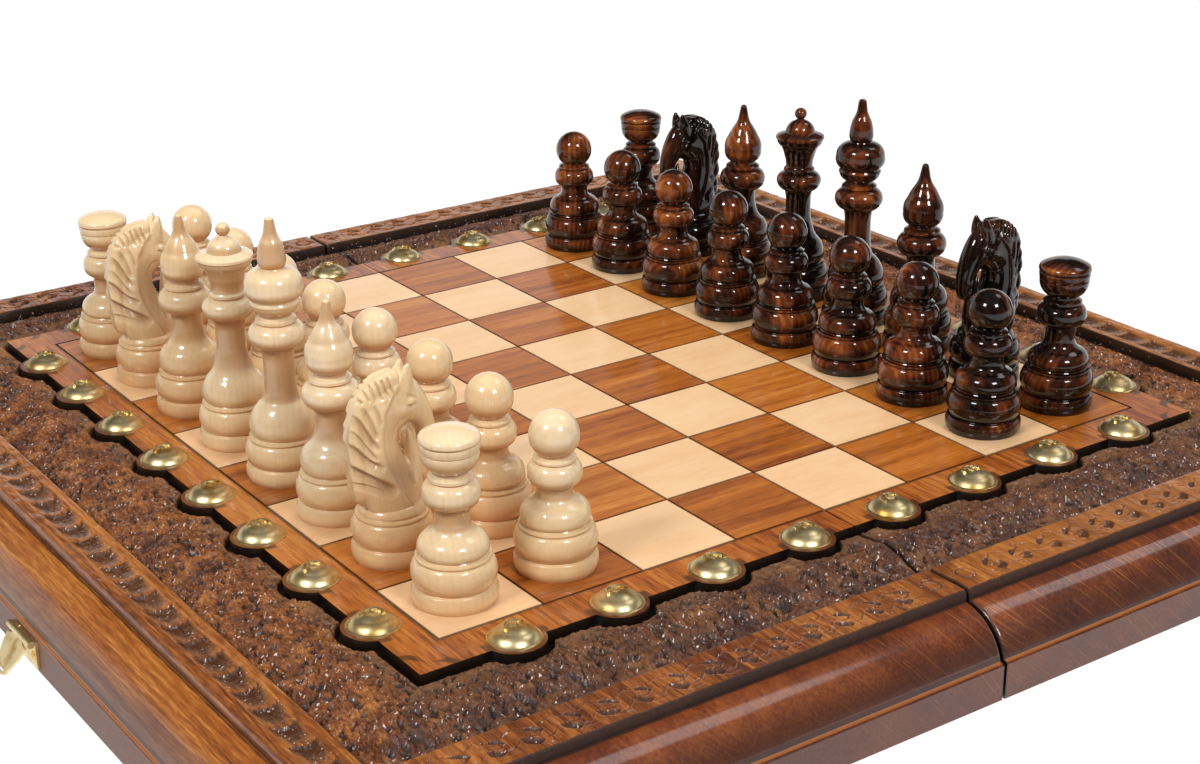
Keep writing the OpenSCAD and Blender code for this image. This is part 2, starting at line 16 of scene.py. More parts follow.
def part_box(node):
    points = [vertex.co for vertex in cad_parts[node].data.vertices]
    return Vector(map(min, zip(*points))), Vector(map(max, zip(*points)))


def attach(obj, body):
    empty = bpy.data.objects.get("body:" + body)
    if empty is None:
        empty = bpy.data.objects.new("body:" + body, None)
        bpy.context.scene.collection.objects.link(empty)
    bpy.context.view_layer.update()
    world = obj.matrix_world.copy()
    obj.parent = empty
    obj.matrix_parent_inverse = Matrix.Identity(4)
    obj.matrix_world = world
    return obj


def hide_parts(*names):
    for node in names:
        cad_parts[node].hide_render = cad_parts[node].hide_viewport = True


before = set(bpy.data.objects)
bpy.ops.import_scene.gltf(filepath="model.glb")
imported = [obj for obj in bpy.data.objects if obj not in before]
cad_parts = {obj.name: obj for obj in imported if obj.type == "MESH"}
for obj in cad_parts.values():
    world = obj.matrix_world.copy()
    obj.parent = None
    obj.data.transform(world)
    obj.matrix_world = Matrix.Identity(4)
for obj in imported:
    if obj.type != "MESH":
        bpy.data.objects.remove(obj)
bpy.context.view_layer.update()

MM = 0.001

# %% Heights and distances that the frame gives
SQUARE = 40 * MM
FIELD_HALF = 4 * SQUARE
field_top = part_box("white_light_squares")[1].z
deck_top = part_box("white_field_plate")[0].z
rail_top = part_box("white_side_rails")[1].z
CREST_ABOVE_BAND = 1.1 * MM
band_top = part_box("white_carved_board")[1].z - CREST_ABOVE_BAND
fold_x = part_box("black_side_rails")[0].x
tray_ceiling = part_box("white_spine_rail")[1].z
print("field", field_top, "band", band_top, "deck", deck_top, "rails", rail_top, tray_ceiling)

# %% Distances outside the field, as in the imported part
STUD_RADIUS, LOBE_WALL, TRENCH = 9.1 * MM, 1.5 * MM, 2 * MM
STUD_OUT = {"near": 13.2 * MM, "far": 13.2 * MM, "end": 12.2 * MM}
LOBE_CLEAR = STUD_RADIUS + LOBE_WALL + TRENCH
GROUND_IN, BAND_IN, BAND_OUT = 18 * MM, 53.6 * MM, 72.4 * MM
MOULD_IN, MOULD_OUT = 73.4 * MM, 90.3 * MM
print("ground, band and moulding start at", GROUND_IN, BAND_IN, MOULD_IN)

# %% [markdown]
# ## Camera
# The photograph was taken from White's near corner, a little above the kings. The eye's place was
# solved from the corners of the squares, so it is written in squares from the middle of the field.

# %% Camera
EYE_IN_SQUARES = Vector((-11.2086, -16.5610, 8.0415))
AZIMUTH, ELEVATION, ROLL = (math.radians(a) for a in (34.959, 22.121, -0.422))
SENSOR, FOCAL_LENGTH = 36, 62.36
forward = Vector((math.sin(AZIMUTH) * math.cos(ELEVATION),
                  math.cos(AZIMUTH) * math.cos(ELEVATION), -math.sin(ELEVATION)))
level = Vector((math.cos(AZIMUTH), -math.sin(AZIMUTH), 0))
right = level * math.cos(ROLL) + level.cross(forward) * math.sin(ROLL)
up = right.cross(forward)

camera = bpy.data.objects.new("camera", bpy.data.cameras.new("camera"))
bpy.context.scene.collection.objects.link(camera)
camera.data.sensor_width, camera.data.lens = SENSOR, FOCAL_LENGTH
camera.data.clip_start = 0.02
eye = EYE_IN_SQUARES * SQUARE + Vector((0, 0, field_top))
turn = Matrix((right, up, -forward)).transposed()
camera.matrix_world = Matrix.Translation(eye) @ turn.to_4x4()
bpy.context.scene.camera = camera
print("camera at", [round(c, 4) for c in eye])

# %% [markdown]
# ## Shader helper
# A finish is a graph of nodes. Writing it as plain arithmetic keeps it readable: a Wire is one
# output socket, and adding or multiplying wires adds the Math nodes that do it. Colours are given
# as hex codes, and a finish is painted in layers, each a mask and the colour that it lays on.

# %% Shader helper
def rgb(code):
    """Linear colour with alpha from a hex code such as #E3C097."""
    channels = [int(code[i:i + 2], 16) / 255 for i in (1, 3, 5)]
    return tuple(c / 12.92 if c < 0.04045 else ((c + 0.055) / 1.055) ** 2.4 for c in channels) + (1.0,)


class Wire:
    """An output socket of a finish, with the arithmetic that the finishes use."""

    def __init__(self, finish, socket):
        self.finish, self.socket = finish, socket

    def math(self, operation, *values):
        return self.finish.node("ShaderNodeMath", {"operation": operation}, dict(enumerate(values)))

    def __add__(self, other): return self.math("ADD", self, other)
    def __radd__(self, other): return self.math("ADD", other, self)
    def __sub__(self, other): return self.math("SUBTRACT", self, other)
    def __rsub__(self, other): return self.math("SUBTRACT", other, self)
    def __mul__(self, other): return self.math("MULTIPLY", self, other)
    def __rmul__(self, other): return self.math("MULTIPLY", other, self)
    def __truediv__(self, other): return self.math("DIVIDE", self, other)
    def __abs__(self): return self.math("ABSOLUTE", self)
    def sin(self): return self.math("SINE", self)
    def fraction(self): return self.math("FRACT", self)
    def most(self, other): return self.math("MAXIMUM", self, other)
    def least(self, other): return self.math("MINIMUM", self, other)

    def between(self, low, high):
        """Smooth mask that rises from 0 at low to 1 at high."""
        return self.finish.node("ShaderNodeMapRange", {"interpolation_type": "SMOOTHSTEP"},
                                {"Value": self, "From Min": low, "From Max": high})

    def line(self, middle, half, soft):
        """Mask of a stripe: 1 up to half a width from its middle, then fading out."""
        return 1 - abs(self - middle).between(half, half + soft)


class Finish:
    """The node tree of a material or a world, with one method that adds any node to it."""

    def __init__(self, block):
        self.block = block
        block.use_nodes = True
        self.tree = block.node_tree
        self.tree.nodes.clear()
        self.place = self.node("ShaderNodeTexCoord", output="Object")

    def node(self, kind, settings=None, inputs=None, output=0):
        """Adds a node of any kind and returns one of its outputs."""
        node = self.tree.nodes.new(kind)
        for key, value in (settings or {}).items():
            if key == "stops":
                ramp = node.color_ramp
                ramp.elements.remove(ramp.elements[1])
                ramp.elements[0].position, ramp.elements[0].color = value[0][0], rgb(value[0][1])
                for position, code in value[1:]:
                    ramp.elements.new(position).color = rgb(code)
            else:
                setattr(node, key, value)
        for key, value in (inputs or {}).items():
            if isinstance(value, Wire):
                self.tree.links.new(value.socket, node.inputs[key])
            else:
                node.inputs[key].default_value = rgb(value) if isinstance(value, str) else value
        return None if output is None else Wire(self, node.outputs[output])

    def axes(self, vector=None):
        """The three coordinates of a vector as wires."""
        split = self.node("ShaderNodeSeparateXYZ", None, {0: vector or self.place})
        return [Wire(self, split.socket.node.outputs[k]) for k in range(3)]

    def facing(self):
        """The way that the surface looks, as three wires."""
        return self.axes(self.node("ShaderNodeTexCoord", output="Normal"))

    def vector(self, x, y, z):
        """A vector of three wires or numbers."""
        return self.node("ShaderNodeCombineXYZ", None, {0: x, 1: y, 2: z})

    def length(self, x, y):
        """Length of a level vector."""
        return self.node("ShaderNodeVectorMath", {"operation": "LENGTH"}, {0: self.vector(x, y, 0.0)},
                         output="Value")

    def scaled(self, factors, vector=None):
        """A vector, or else the place, times one factor for each axis."""
        return self.node("ShaderNodeVectorMath", {"operation": "MULTIPLY"},
                         {0: vector or self.place, 1: factors})

    def grain(self, scale, detail=2, roughness=0.5, distortion=0.0):
        """Noise on a wire, or on the place times one factor or times one for each axis."""
        if not isinstance(scale, Wire):
            scale = self.scaled(scale if isinstance(scale, tuple) else (scale, scale, scale))
        return self.node("ShaderNodeTexNoise", {"normalize": True},
                         {"Vector": scale, "Scale": 1.0, "Detail": detail,
                          "Roughness": roughness, "Distortion": distortion})

    def mix(self, share, first, second):
        """Blend of two colours, which go into the node's sockets 6 and 7."""
        return self.node("ShaderNodeMix", {"data_type": "RGBA"},
                         {0: share, 6: first, 7: second}, output=2)

    def layered(self, colour, *layers):
        """Lays colours over the first one, each where its mask says."""
        for mask, code in layers:
            colour = self.mix(mask, colour, code)
        return colour

    def ramp(self, value, stops):
        """Colour of a value between stops of (value, colour)."""
        return self.node("ShaderNodeValToRGB", {"stops": stops}, {0: value})

    def bump(self, height, distance, strength):
        """Normal of a surface whose height of 1 stands for a distance in metres."""
        return self.node("ShaderNodeBump", None,
                         {"Strength": strength, "Distance": distance, "Height": height})

    def done(self, sockets):
        """Ends the finish in a Principled surface and returns the material."""
        surface = self.node("ShaderNodeBsdfPrincipled", None, sockets)
        self.node("ShaderNodeOutputMaterial", None, {"Surface": surface}, output=None)
        return self.block


print("helper classes ready")

# %% [markdown]
# ## Studio
# White backdrop, white table, two softboxes above and behind the camera and a large soft light
# overhead, which polished wood doesn't mirror. The world and the table show as white only to rays
# that come from the camera or from a reflection, so the backdrop can be white without more light
# falling on the wood. In reflections the backdrop stands only behind the board, a small window
# shines high up on Black's side, the ceiling is dim and the rest of the room is dark. The table
# beside White's end is mirrored a little darker, because the low wall there stays brown in the photo.

# %% Studio
AMBIENT, DARK_ROOM, CEILING, WINDOW = 0.4, 0.025, 0.16, 3.4
WINDOW_WAY = Vector((0.572, -0.04, 0.819))
TABLE_HALF, TABLE_SHADE = 9, (0.5, 0.5, 0.51, 1)
scene = bpy.context.scene
scene.view_settings.view_transform = "Standard"
scene.world = bpy.data.worlds.new("studio")
studio = Finish(scene.world)
seen = studio.node("ShaderNodeLightPath", output="Is Camera Ray")
mirrored = studio.node("ShaderNodeLightPath", output="Is Glossy Ray").most(
    studio.node("ShaderNodeLightPath", output="Is Transmission Ray"))
east, north, height = studio.axes(studio.node("ShaderNodeTexCoord", output="Generated"))
away = east * forward.x + north * forward.y
backdrop = away.between(-0.1, 0.35) * (1 - height.between(0.3, 0.42))
window = (east * WINDOW_WAY.x + north * WINDOW_WAY.y + height * WINDOW_WAY.z).between(0.98, 0.992)
reflected = (DARK_ROOM + (1 - DARK_ROOM) * backdrop + window * WINDOW
             + height.between(0.7, 0.9) * CEILING)
studio.node("ShaderNodeOutputWorld", None, {"Surface": studio.node("ShaderNodeBackground", None, {
    "Strength": seen.most(mirrored * reflected + (1 - mirrored) * AMBIENT)})}, output=None)

floor_mesh = bmesh.new()
bmesh.ops.create_grid(floor_mesh, x_segments=4, y_segments=4, size=TABLE_HALF)
floor = bpy.data.objects.new("floor", bpy.data.meshes.new("floor"))
floor_mesh.to_mesh(floor.data)
floor_mesh.free()
scene.collection.objects.link(floor)
paper = Finish(bpy.data.materials.new("white_table"))
# Painted shade: glossy rays see the table beside White's end a little darker.
beside = (paper.axes()[0] * -1).between(0.24, 0.3)
looked = paper.node("ShaderNodeLightPath", output="Is Camera Ray").most(
    paper.node("ShaderNodeLightPath", output="Is Glossy Ray") * (1 - beside * 0.35))
paper.node("ShaderNodeOutputMaterial", None, {"Surface": paper.node("ShaderNodeMixShader", None, {
    0: looked * 0.9,
    1: paper.node("ShaderNodeBsdfDiffuse", None, {"Color": TABLE_SHADE}),
    2: paper.node("ShaderNodeEmission", None, {"Strength": 1.1})})}, output=None)
floor.data.materials.append(paper.block)


def softbox(name, azimuth, elevation, distance, size, power):
    """Rectangular lamp that points at the middle of the board from a compass direction."""
    lamp = bpy.data.objects.new(name, bpy.data.lights.new(name, "AREA"))
    lamp.data.shape, lamp.data.energy = "RECTANGLE", power
    lamp.data.size, lamp.data.size_y = size
    a, e = math.radians(azimuth), math.radians(elevation)
    away = Vector((-math.sin(a) * math.cos(e), -math.cos(a) * math.cos(e), math.sin(e)))
    lamp.location = away * distance
    lamp.rotation_euler = away.to_track_quat("Z", "Y").to_euler()
    scene.collection.objects.link(lamp)


CAMERA_SIDE = math.degrees(AZIMUTH)
softbox("softbox_left", CAMERA_SIDE + 44, 45, 2.2, (0.5, 0.46), 20.5)
softbox("softbox_right", CAMERA_SIDE - 34, 40, 2.2, (0.5, 0.46), 18.5)
softbox("top_light", CAMERA_SIDE + 180, 68, 2.4, (1.2, 1.2), 28)
bpy.data.objects["top_light"].visible_glossy = False
print("studio ready")

# %% [markdown]
# ## Lacquered wood of the turned pieces
# Each piece was turned from its own upright blank, so its growth rings run round a pith that lies
# somewhere beside the piece, and its pores run upwards. White noise of the square's number gives
# every piece its own pith and its own tone. The pale wood gets warm painted shade round the necks
# and under the turned edges, and is darker in the knights' cuts. The dark wood is a red brown that
# the stain took nearly to black; its sideways edges are lighter, rubbed thin and with a painted
# glow. A clear coat gives the small sharp highlights, a duller one on the carved knights.

# %% Grain of an upright blank
RING = 2.3 * MM
PITH_SPREAD, RING_SWAY = 90 * MM, 6 * MM
OFF_CENTRE = 1 * MM


def own_square(finish):
    """Number of the square that a point is on, its chance, and the place in it from 0 to 1."""
    x, y, _ = finish.axes()
    squares = finish.vector(x / SQUARE, y / SQUARE, 0.0)
    number = finish.node("ShaderNodeVectorMath", {"operation": "FLOOR"}, {0: squares})
    inside = finish.node("ShaderNodeVectorMath", {"operation": "FRACTION"}, {0: squares})
    luck = finish.node("ShaderNodeTexWhiteNoise", None, {"Vector": number})
    return number, luck, finish.axes(inside)[:2]


def blank_grain(finish):
    """Chance, rings and pores of the piece on a square, and the distance from its axis."""
    number, luck, inside = own_square(finish)
    from_x, from_y = ((share - 0.5) * SQUARE for share in inside)
    pith_x, pith_y, _ = finish.axes(finish.node(
        "ShaderNodeTexWhiteNoise", None, {"Vector": number}, output="Color"))
    sway = finish.grain((40, 40, 22), detail=1) * RING_SWAY
    from_pith = finish.length(from_x + (pith_x - 0.5) * PITH_SPREAD + sway,
                              from_y + (pith_y - 0.5) * PITH_SPREAD)
    rings = (from_pith * (2 * math.pi / RING)).sin().between(-0.4, 1.0)
    pores = finish.grain((1500, 1500, 45), detail=3, roughness=0.6)
    return luck, rings, pores, finish.length(from_x + OFF_CENTRE, from_y - OFF_CENTRE)


# %% Pale and dark lacquered wood
def cut_depth_and_shade_mask(finish):
    """How deep the tool went, from 0 on the untouched face to 1 in the cut; the walls of the carved
    panel and the inside of the knight's hole read as cut too, which paints them as shade.
    """
    return finish.node("ShaderNodeAttribute", {"attribute_name": "hollow"}, output="Fac")


def pale_wood(name, coat_roughness, painted_warmth):
    """Cream wood with warm painted shade round the necks and under the turned edges, darker towards the
    foot and in the carved cuts, and painted shade inside the knight's hole.
    """
    finish = Finish(bpy.data.materials.new(name))
    luck, rings, pores, radius = blank_grain(finish)
    facing = finish.facing()[2]
    low = 1 - finish.axes()[2].between(field_top + 4 * MM, field_top + 34 * MM)
    # Painted shade: warm shade round the thin necks and on faces that look down, scaled by the warmth
    # argument.
    painted_neck_shade = (1 - radius.between(5.8 * MM, 8.6 * MM)) * (1 - facing.between(0.25, 0.7))
    painted_under_shade = 1 - facing.between(-0.75, 0.05)
    tone = luck * 0.34 + low * 0.28 + finish.grain(38) * 0.55
    colour = finish.ramp(tone, [(0.15, "#F6DDB6"), (0.55, "#EFCF9F"), (1.0, "#DCA870")])
    return finish.done({
        "Base Color": finish.layered(
            colour, ((painted_neck_shade * 0.6 + painted_under_shade * 0.8) * painted_warmth, "#B97A3C"), (rings * 0.07, "#C48A50"),
            (pores.between(0.5, 0.8) * 0.2, "#BF8A55"), (cut_depth_and_shade_mask(finish) * 0.5, "#9A622E")),
        "Roughness": 0.32 + pores * 0.15, "Coat Weight": 1.0, "Coat Roughness": coat_roughness,
        "Normal": finish.bump(pores * 0.3 + finish.grain(120) * 2.0, 0.05 * MM, 0.5)})


def dark_wood(name, stops, rub_and_painted_glow):
    """Wood stained from red brown to near black, lighter on the sideways turned edges, where the stain
    is rubbed thin and a warm glow is painted.
    """
    finish = Finish(bpy.data.materials.new(name))
    luck, rings, pores, radius = blank_grain(finish)
    facing, height = finish.facing()[2], finish.axes()[2] - field_top
    cloud = finish.grain((70, 70, 34), detail=3, roughness=0.55)
    # Sideways-facing surfaces of wide parts are lightened: stain rubbed thin, and a painted glow.
    edge = facing.between(-0.5, 0.4) * (1 - facing.between(0.75, 1.0))
    tone = (cloud * 0.9 + (luck - 0.5) * 0.07 + height / (520 * MM) + rings * 0.06 + pores * 0.12
            + edge * rub_and_painted_glow * radius / (10 * MM) - 0.14)
    return finish.done({
        "Base Color": finish.ramp(tone, stops), "Roughness": 0.3 + pores * 0.12,
        "Coat Weight": 1.0, "Coat Roughness": 0.03, "Specular IOR Level": 0.05,
        "Normal": finish.bump(finish.grain(140) + pores * 0.2, 0.05 * MM, 0.5)})


PIECE_WOOD = {
    "white": (pale_wood("lacquered_pale_wood", 0.06, 1.0), pale_wood("carved_pale_wood", 0.14, 0.25)),
    "black": (
        dark_wood("lacquered_dark_wood", [(0.38, "#080403"), (0.48, "#1A0B06"), (0.58, "#3A1A0C"),
                                          (0.7, "#74391A"), (0.84, "#B06A2E")], 0.15),
        dark_wood("carved_dark_wood", [(0.38, "#060403"), (0.52, "#150A07"), (0.66, "#3A1C0E"),
                                       (0.84, "#7C4520")], 0.06))}
PIECE_SLOT = {"white": "pale_wood", "black": "dark_wood"}
print("turned and carved wood:", {side: [w.name for w in pair] for side, pair in PIECE_WOOD.items()})

# %% [markdown]
# ## Stained wood of the board
# The slab is one broad panel whose grain runs from the h file to the a file, stained orange brown.
# Its long-grain faces show streaks. On the two long sides the saw cut across the fibres, so they
# drank more stain: they are darker and show the rays as thin orange dashes. Painted shade darkens
# the step beside the moulding, the moulding's low part, White's end wall and a line above the bead,
# and painted shadow fills the groove between ground and band, the trench round the plate and the
# fold. The bead line is rubbed pale and painted as a highlight, and painted highlights stand for
# lacquer glinting on torn chips.

# %% Grain of the board
def outward(finish):
    """How far a point lies outside the field, whichever side it is on, in metres."""
    x, y, _ = finish.axes()
    return abs(x).most(abs(y)) - FIELD_HALF


def sideways(finish):
    """How much farther along y than along x a point lies: above 0 on the two long sides."""
    x, y, _ = finish.axes()
    return abs(y) - abs(x)


def long_grain(finish, stops, streak):
    """Streaked colour along y, with the fine fibres and the pores that made it."""
    broad = finish.grain((34, 6, 34), detail=3)
    fine = finish.grain((520, 16, 520), detail=4, roughness=0.7)
    pores = finish.grain((1500, 130, 1500))
    tone = 0.53 + (broad - 0.5) * 0.5 + ((fine - 0.5) * 0.5 + (pores - 0.5) * 0.3) * streak
    return finish.ramp(tone, stops), fine, pores


PITH_X, PITH_SHIFT, PITH_DEEP = 250 * MM, 60 * MM, 250 * MM


def end_grain(finish):
    """Speckle and rays of the fibres' cut ends, fanning out from a pith below each half."""
    x, y, z = finish.axes()
    dx, dz = x - (PITH_X + x.math("SIGN", x) * PITH_SHIFT), z + PITH_DEEP
    angle = dz.math("ARCTAN2", dz, dx)
    rays = finish.grain(finish.vector(angle * 950, finish.length(dx, dz) * 45, y * 30), detail=1)
    speckle = finish.grain((900, 300, 900), detail=3, roughness=0.7)
    colour = finish.ramp(speckle * 0.5 + finish.grain((45, 12, 60)) * 0.5, [
        (0.34, "#3A1608"), (0.5, "#682E0F"), (0.66, "#8A481A")])
    lit = x.between(-90 * MM, 40 * MM) * 0.6 + 0.2
    return finish.layered(colour, (rays.between(0.61, 0.7) * lit, "#B0682E"))


def painted_glints(finish, factors):
    """Mask of painted highlights that stand for lacquer glinting on a few chips askew to the grain."""
    x, y, z = finish.axes()
    askew = finish.scaled(factors, finish.vector(x + y, x - y, z))
    return finish.grain(askew, detail=0, distortion=0.6).between(0.75, 0.79)


# %% Stained board
STAIN = [(0.3, "#582408"), (0.43, "#824410"), (0.55, "#A05A1E"), (0.7, "#C08038")]


def board_colour(finish):
    """Long grain or end grain, by the way the face looks and by the side of the moulding."""
    wood, fine, pores = long_grain(finish, STAIN, 1.5)
    beside = sideways(finish).between(0.0, 1 * MM)
    moulding = outward(finish).between(BAND_OUT, BAND_OUT + 0.6 * MM)
    cut_across = abs(finish.facing()[1]).between(0.04, 0.3).most(beside * moulding)
    return finish.mix(cut_across, wood, end_grain(finish)), fine, pores


def stained_board():
    """The slab and the rails, with painted shade in the step, on the moulding's low part, on White's end
    wall and above the bead, painted shadow in the trench and at the fold, and a pale bead line that is
    wear with a painted highlight.
    """
    finish = Finish(bpy.data.materials.new("stained_board"))
    colour, fine, pores = board_colour(finish)
    out, (x, _, z) = outward(finish), finish.axes()
    uneven = finish.grain((200, 200, 300)) * 0.8 * MM
    end = (0 - sideways(finish)).between(0.0, 2 * MM)
    # Painted shade in the step between band and moulding, wider on the ends.
    step = (1 - (out + uneven).between(MOULD_IN + 0.1 * MM, MOULD_IN + 0.7 * MM)) * (
        out - end * 1.1 * MM).between(BAND_OUT - 0.8 * MM, BAND_OUT - 0.4 * MM)
    # Painted shadow in the trench round the plate.
    painted_trench_shadow = 1 - out.between(26 * MM, 28 * MM)
    # Painted shadow: a thin dark line in the groove above the bead.
    foot = z.line(rail_top + 1.4 * MM, 0.6 * MM, 0.6 * MM) * out.between(87 * MM, 88.5 * MM)
    # Pale line at the bead: wear, with a painted highlight where the chamfer catches the light.
    worn_edge_and_highlight = z.line(rail_top + 0.2 * MM, 0.2 * MM, 0.4 * MM) * out.between(89 * MM, 90 * MM)
    wall = 1 - z.between(rail_top - 1.4 * MM, rail_top - 0.4 * MM)
    # Painted shade on the moulding's low part.
    low = out.between(82 * MM, 89 * MM) * (1 - wall) * 0.6
    # White's end wall is darker than the other walls as painted shade, and the fold gap gets a painted
    # shadow.
    return finish.done({
        "Base Color": finish.layered(
            colour, (low, "#3A180A"), (wall * (0.55 + end * 0.3), "#623220"), (foot * 0.5, "#2A130A"),
            (worn_edge_and_highlight * 0.8, "#B0641E"), (x.line(0.0, 0.6 * MM, 0.9 * MM) * 0.95, "#0E0604"),
            (step * 0.9, "#2A130B"), (painted_trench_shadow, "#0C0605")),
        "Roughness": 0.36 + fine * 0.16 + step * 0.3,
        "Coat Weight": (0.8 - wall * (0.25 + end * 0.45)) * (1 - step) * (1 - painted_trench_shadow) * (1 - foot * 0.5),
        "Coat Roughness": 0.09, "Normal": finish.bump(fine + pores * 0.5, 0.05 * MM, 0.5)})


# %% Carved ground and band
def carved_ground_wood():
    """The chopped ground: darker the deeper it was cut, red brown on the torn tips, with painted shadow
    in the groove along the band and at the fold and painted highlights on a few chips.
    """
    finish = Finish(bpy.data.materials.new("carved_ground_wood"))
    hollow = cut_depth_and_shade_mask(finish)
    patch = finish.grain(90, detail=3, roughness=0.6)
    fibre = finish.grain((1500, 420, 900), detail=3, roughness=0.7)
    rim = 1 - outward(finish).between(20 * MM, 31 * MM)
    sides = sideways(finish).between(-4 * MM, 4 * MM)
    # Painted shadow in the groove between ground and band; the next line adds the fold gap.
    groove = (outward(finish) + fibre * MM).between(BAND_IN - 2 * MM, BAND_IN - 1 * MM)
    painted_gap_shadow = groove.most(finish.axes()[0].line(0.0, 0.6 * MM, 1 * MM))
    painted_glint = painted_glints(finish, (420, 900, 700)) * (1 - rim * 0.7) * (1 - groove)
    colour = finish.ramp(patch * 0.5 + fibre * 0.5, [
        (0.38, "#381B0C"), (0.47, "#683718"), (0.55, "#8C5124"), (0.66, "#BC7E3E")])
    return finish.done({
        "Base Color": finish.layered(
            colour, (sides * 0.5, "#3A2822"), (rim * 0.5, "#7E5A3C"),
            (hollow.between(0.02, 0.7) * 0.8, "#160B07"), (painted_gap_shadow * 0.9, "#0C0605"),
            (painted_glint * 0.8, "#E6D9D2")),
        "Roughness": 0.5 - painted_glint * 0.3, "Coat Weight": (0.35 + painted_glint * 0.6) * (1 - painted_gap_shadow),
        "Coat Roughness": 0.15, "Normal": finish.bump(fibre, 0.4 * MM, 0.8)})


def carved_band_wood():
    """Flat faces of the band darker than the moulding and darkest in the cuts, with painted shadow along
    its inner foot and at the fold, painted shade on the step wall of the long sides and painted
    highlights on a few chips.
    """
    finish = Finish(bpy.data.materials.new("carved_band_wood"))
    colour, fine, pores = long_grain(finish, [
        (0.3, "#3A1606"), (0.43, "#66300C"), (0.55, "#8E4E1A"), (0.7, "#B87434")], 1.5)
    hollow, out, x = cut_depth_and_shade_mask(finish), outward(finish), finish.axes()[0]
    blotch = finish.grain(160, detail=3, roughness=0.6).between(0.5, 0.68)
    # Painted shadow along the band's inner foot, where the ground's groove lies, and across the fold
    # gap.
    inner = 1 - (out - fine * 0.6 * MM).between(BAND_IN + 0.1 * MM, BAND_IN + 0.5 * MM)
    inner = inner.most(x.line(0.0, 0.6 * MM, 1 * MM))
    painted_glint = painted_glints(finish, (500, 900, 900)) * hollow.between(0.1, 0.3) * (
        1 - out.between(70 * MM, 71 * MM))
    # Painted shade on the step wall along the long sides.
    edge = (out + fine * 1.5 * MM).between(BAND_OUT - 0.3 * MM, BAND_OUT + 0.5 * MM) * (
        sideways(finish).between(-2 * MM, 0.0))
    return finish.done({
        "Base Color": finish.layered(
            colour, (blotch * 0.45, "#54260E"), (x.between(0.0, 50 * MM) * 0.3, "#B9742E"),
            (hollow.between(0.06, 0.6) * 0.8, "#2E1710"), (inner * 0.9, "#120806"),
            (painted_glint * 0.7, "#E0CFC4"), (edge * 0.9, "#2A150D")),
        "Roughness": 0.34 + fine * 0.2 + edge * 0.2,
        "Coat Weight": 0.75 * (1 - edge.most(inner)) * (1 - hollow * 0.5), "Coat Roughness": 0.08,
        "Normal": finish.bump(fine + pores * 0.6, 0.1 * MM, 0.8)})


# %% Field plate
def plate_wood():
    """The field plate: orange on top, almost black on the sawn edge round the lobes."""
    finish = Finish(bpy.data.materials.new("field_plate_wood"))
    wood, fine, pores = long_grain(finish, [
        (0.3, "#52200A"), (0.43, "#884010"), (0.56, "#AE601E"), (0.72, "#C68238")], 1.4)
    x, y, z = finish.axes()
    out = outward(finish)
    across = [((c / SQUARE).fraction() - 0.5) * SQUARE for c in (x, y)]
    stud = finish.length(across[0], abs(y) - FIELD_HALF - STUD_OUT["near"]).least(
        finish.length(across[1], abs(x) - FIELD_HALF - STUD_OUT["end"]))
    ring = stud.between(STUD_RADIUS - 0.5 * MM, STUD_RADIUS + 0.5 * MM) * (
        1 - stud.between(LOBE_CLEAR - 1 * MM, LOBE_CLEAR)) * out.between(10.5 * MM, 12.5 * MM)
    top = finish.facing()[2].between(0.3, 0.8) * z.between(field_top - 1 * MM, field_top - 0.4 * MM)
    colour = finish.layered(wood, (ring * 0.75, "#2C1409"), (1 - out.between(0.0, 1.6 * MM), "#3C1A0A"))
    return finish.done({
        "Base Color": finish.mix(top, "#120906", colour), "Roughness": 0.32 + fine * 0.15,
        "Coat Weight": 0.8, "Coat Roughness": 0.1,
        "Normal": finish.bump(fine + pores * 0.5, 0.05 * MM, 0.6)})


board_wood, ground_wood = stained_board(), carved_ground_wood()
band_wood, border_wood = carved_band_wood(), plate_wood()
print("board finishes:", board_wood.name, ground_wood.name, band_wood.name, border_wood.name)

# %% [markdown]
# ## Square veneers
# The pale squares are beech with short flecks, the brown ones a streaked wood whose grain runs from
# White to Black. Every square was cut from another place, so its number shifts its grain and tone.
# The open halves do not lie quite flat, so they mirror the backdrop at two angles: WARP tilts them.

# %% Veneers
WARP = 1500


def veneer(name, stops, along, across, fleck, shift):
    """Squares whose streaks run along x, with a burnt line round each."""
    finish = Finish(bpy.data.materials.new(name))
    x, y, _ = finish.axes()
    _, luck, inside = own_square(finish)
    streak = finish.grain(finish.vector(x * along - y * along * 0.6, y * across + luck * 60, luck * 40),
                          detail=4, roughness=0.62, distortion=0.25)
    flecks = finish.grain(finish.vector(x * fleck, y * fleck * 7, luck * 9))
    burnt = abs(inside[0] - 0.5).most(abs(inside[1] - 0.5)).between(0.478, 0.49)
    colour = finish.ramp(streak * 0.7 + luck * shift + flecks * 0.3 - shift / 2, stops)
    return finish.done({
        "Base Color": finish.layered(colour, (burnt * 0.6, "#5A2C14")),
        "Roughness": 0.34 + flecks * 0.1, "Coat Weight": 0.7, "Coat Roughness": 0.12,
        "Normal": finish.bump(flecks + finish.grain(60) + abs(x) * WARP, 0.04 * MM, 0.6)})


pale_veneer = veneer("pale_beech_veneer", [
    (0.3, "#E9B884"), (0.45, "#F0C392"), (0.6, "#F3CA9C"), (0.75, "#F6D4AA")], 22, 90, 260, 0.06)
brown_veneer = veneer("brown_streaked_veneer", [
    (0.28, "#6E300C"), (0.42, "#9E5416"), (0.55, "#B96A22"), (0.72, "#D08A40")], 9, 190, 160, 0.14)
print("veneers:", pale_veneer.name, brown_veneer.name)

# %% [markdown]
# ## Metal and felt
# The studs, hinges and latches are pale brass, stamped thin and slightly tarnished. The pads under
# the board are felt.

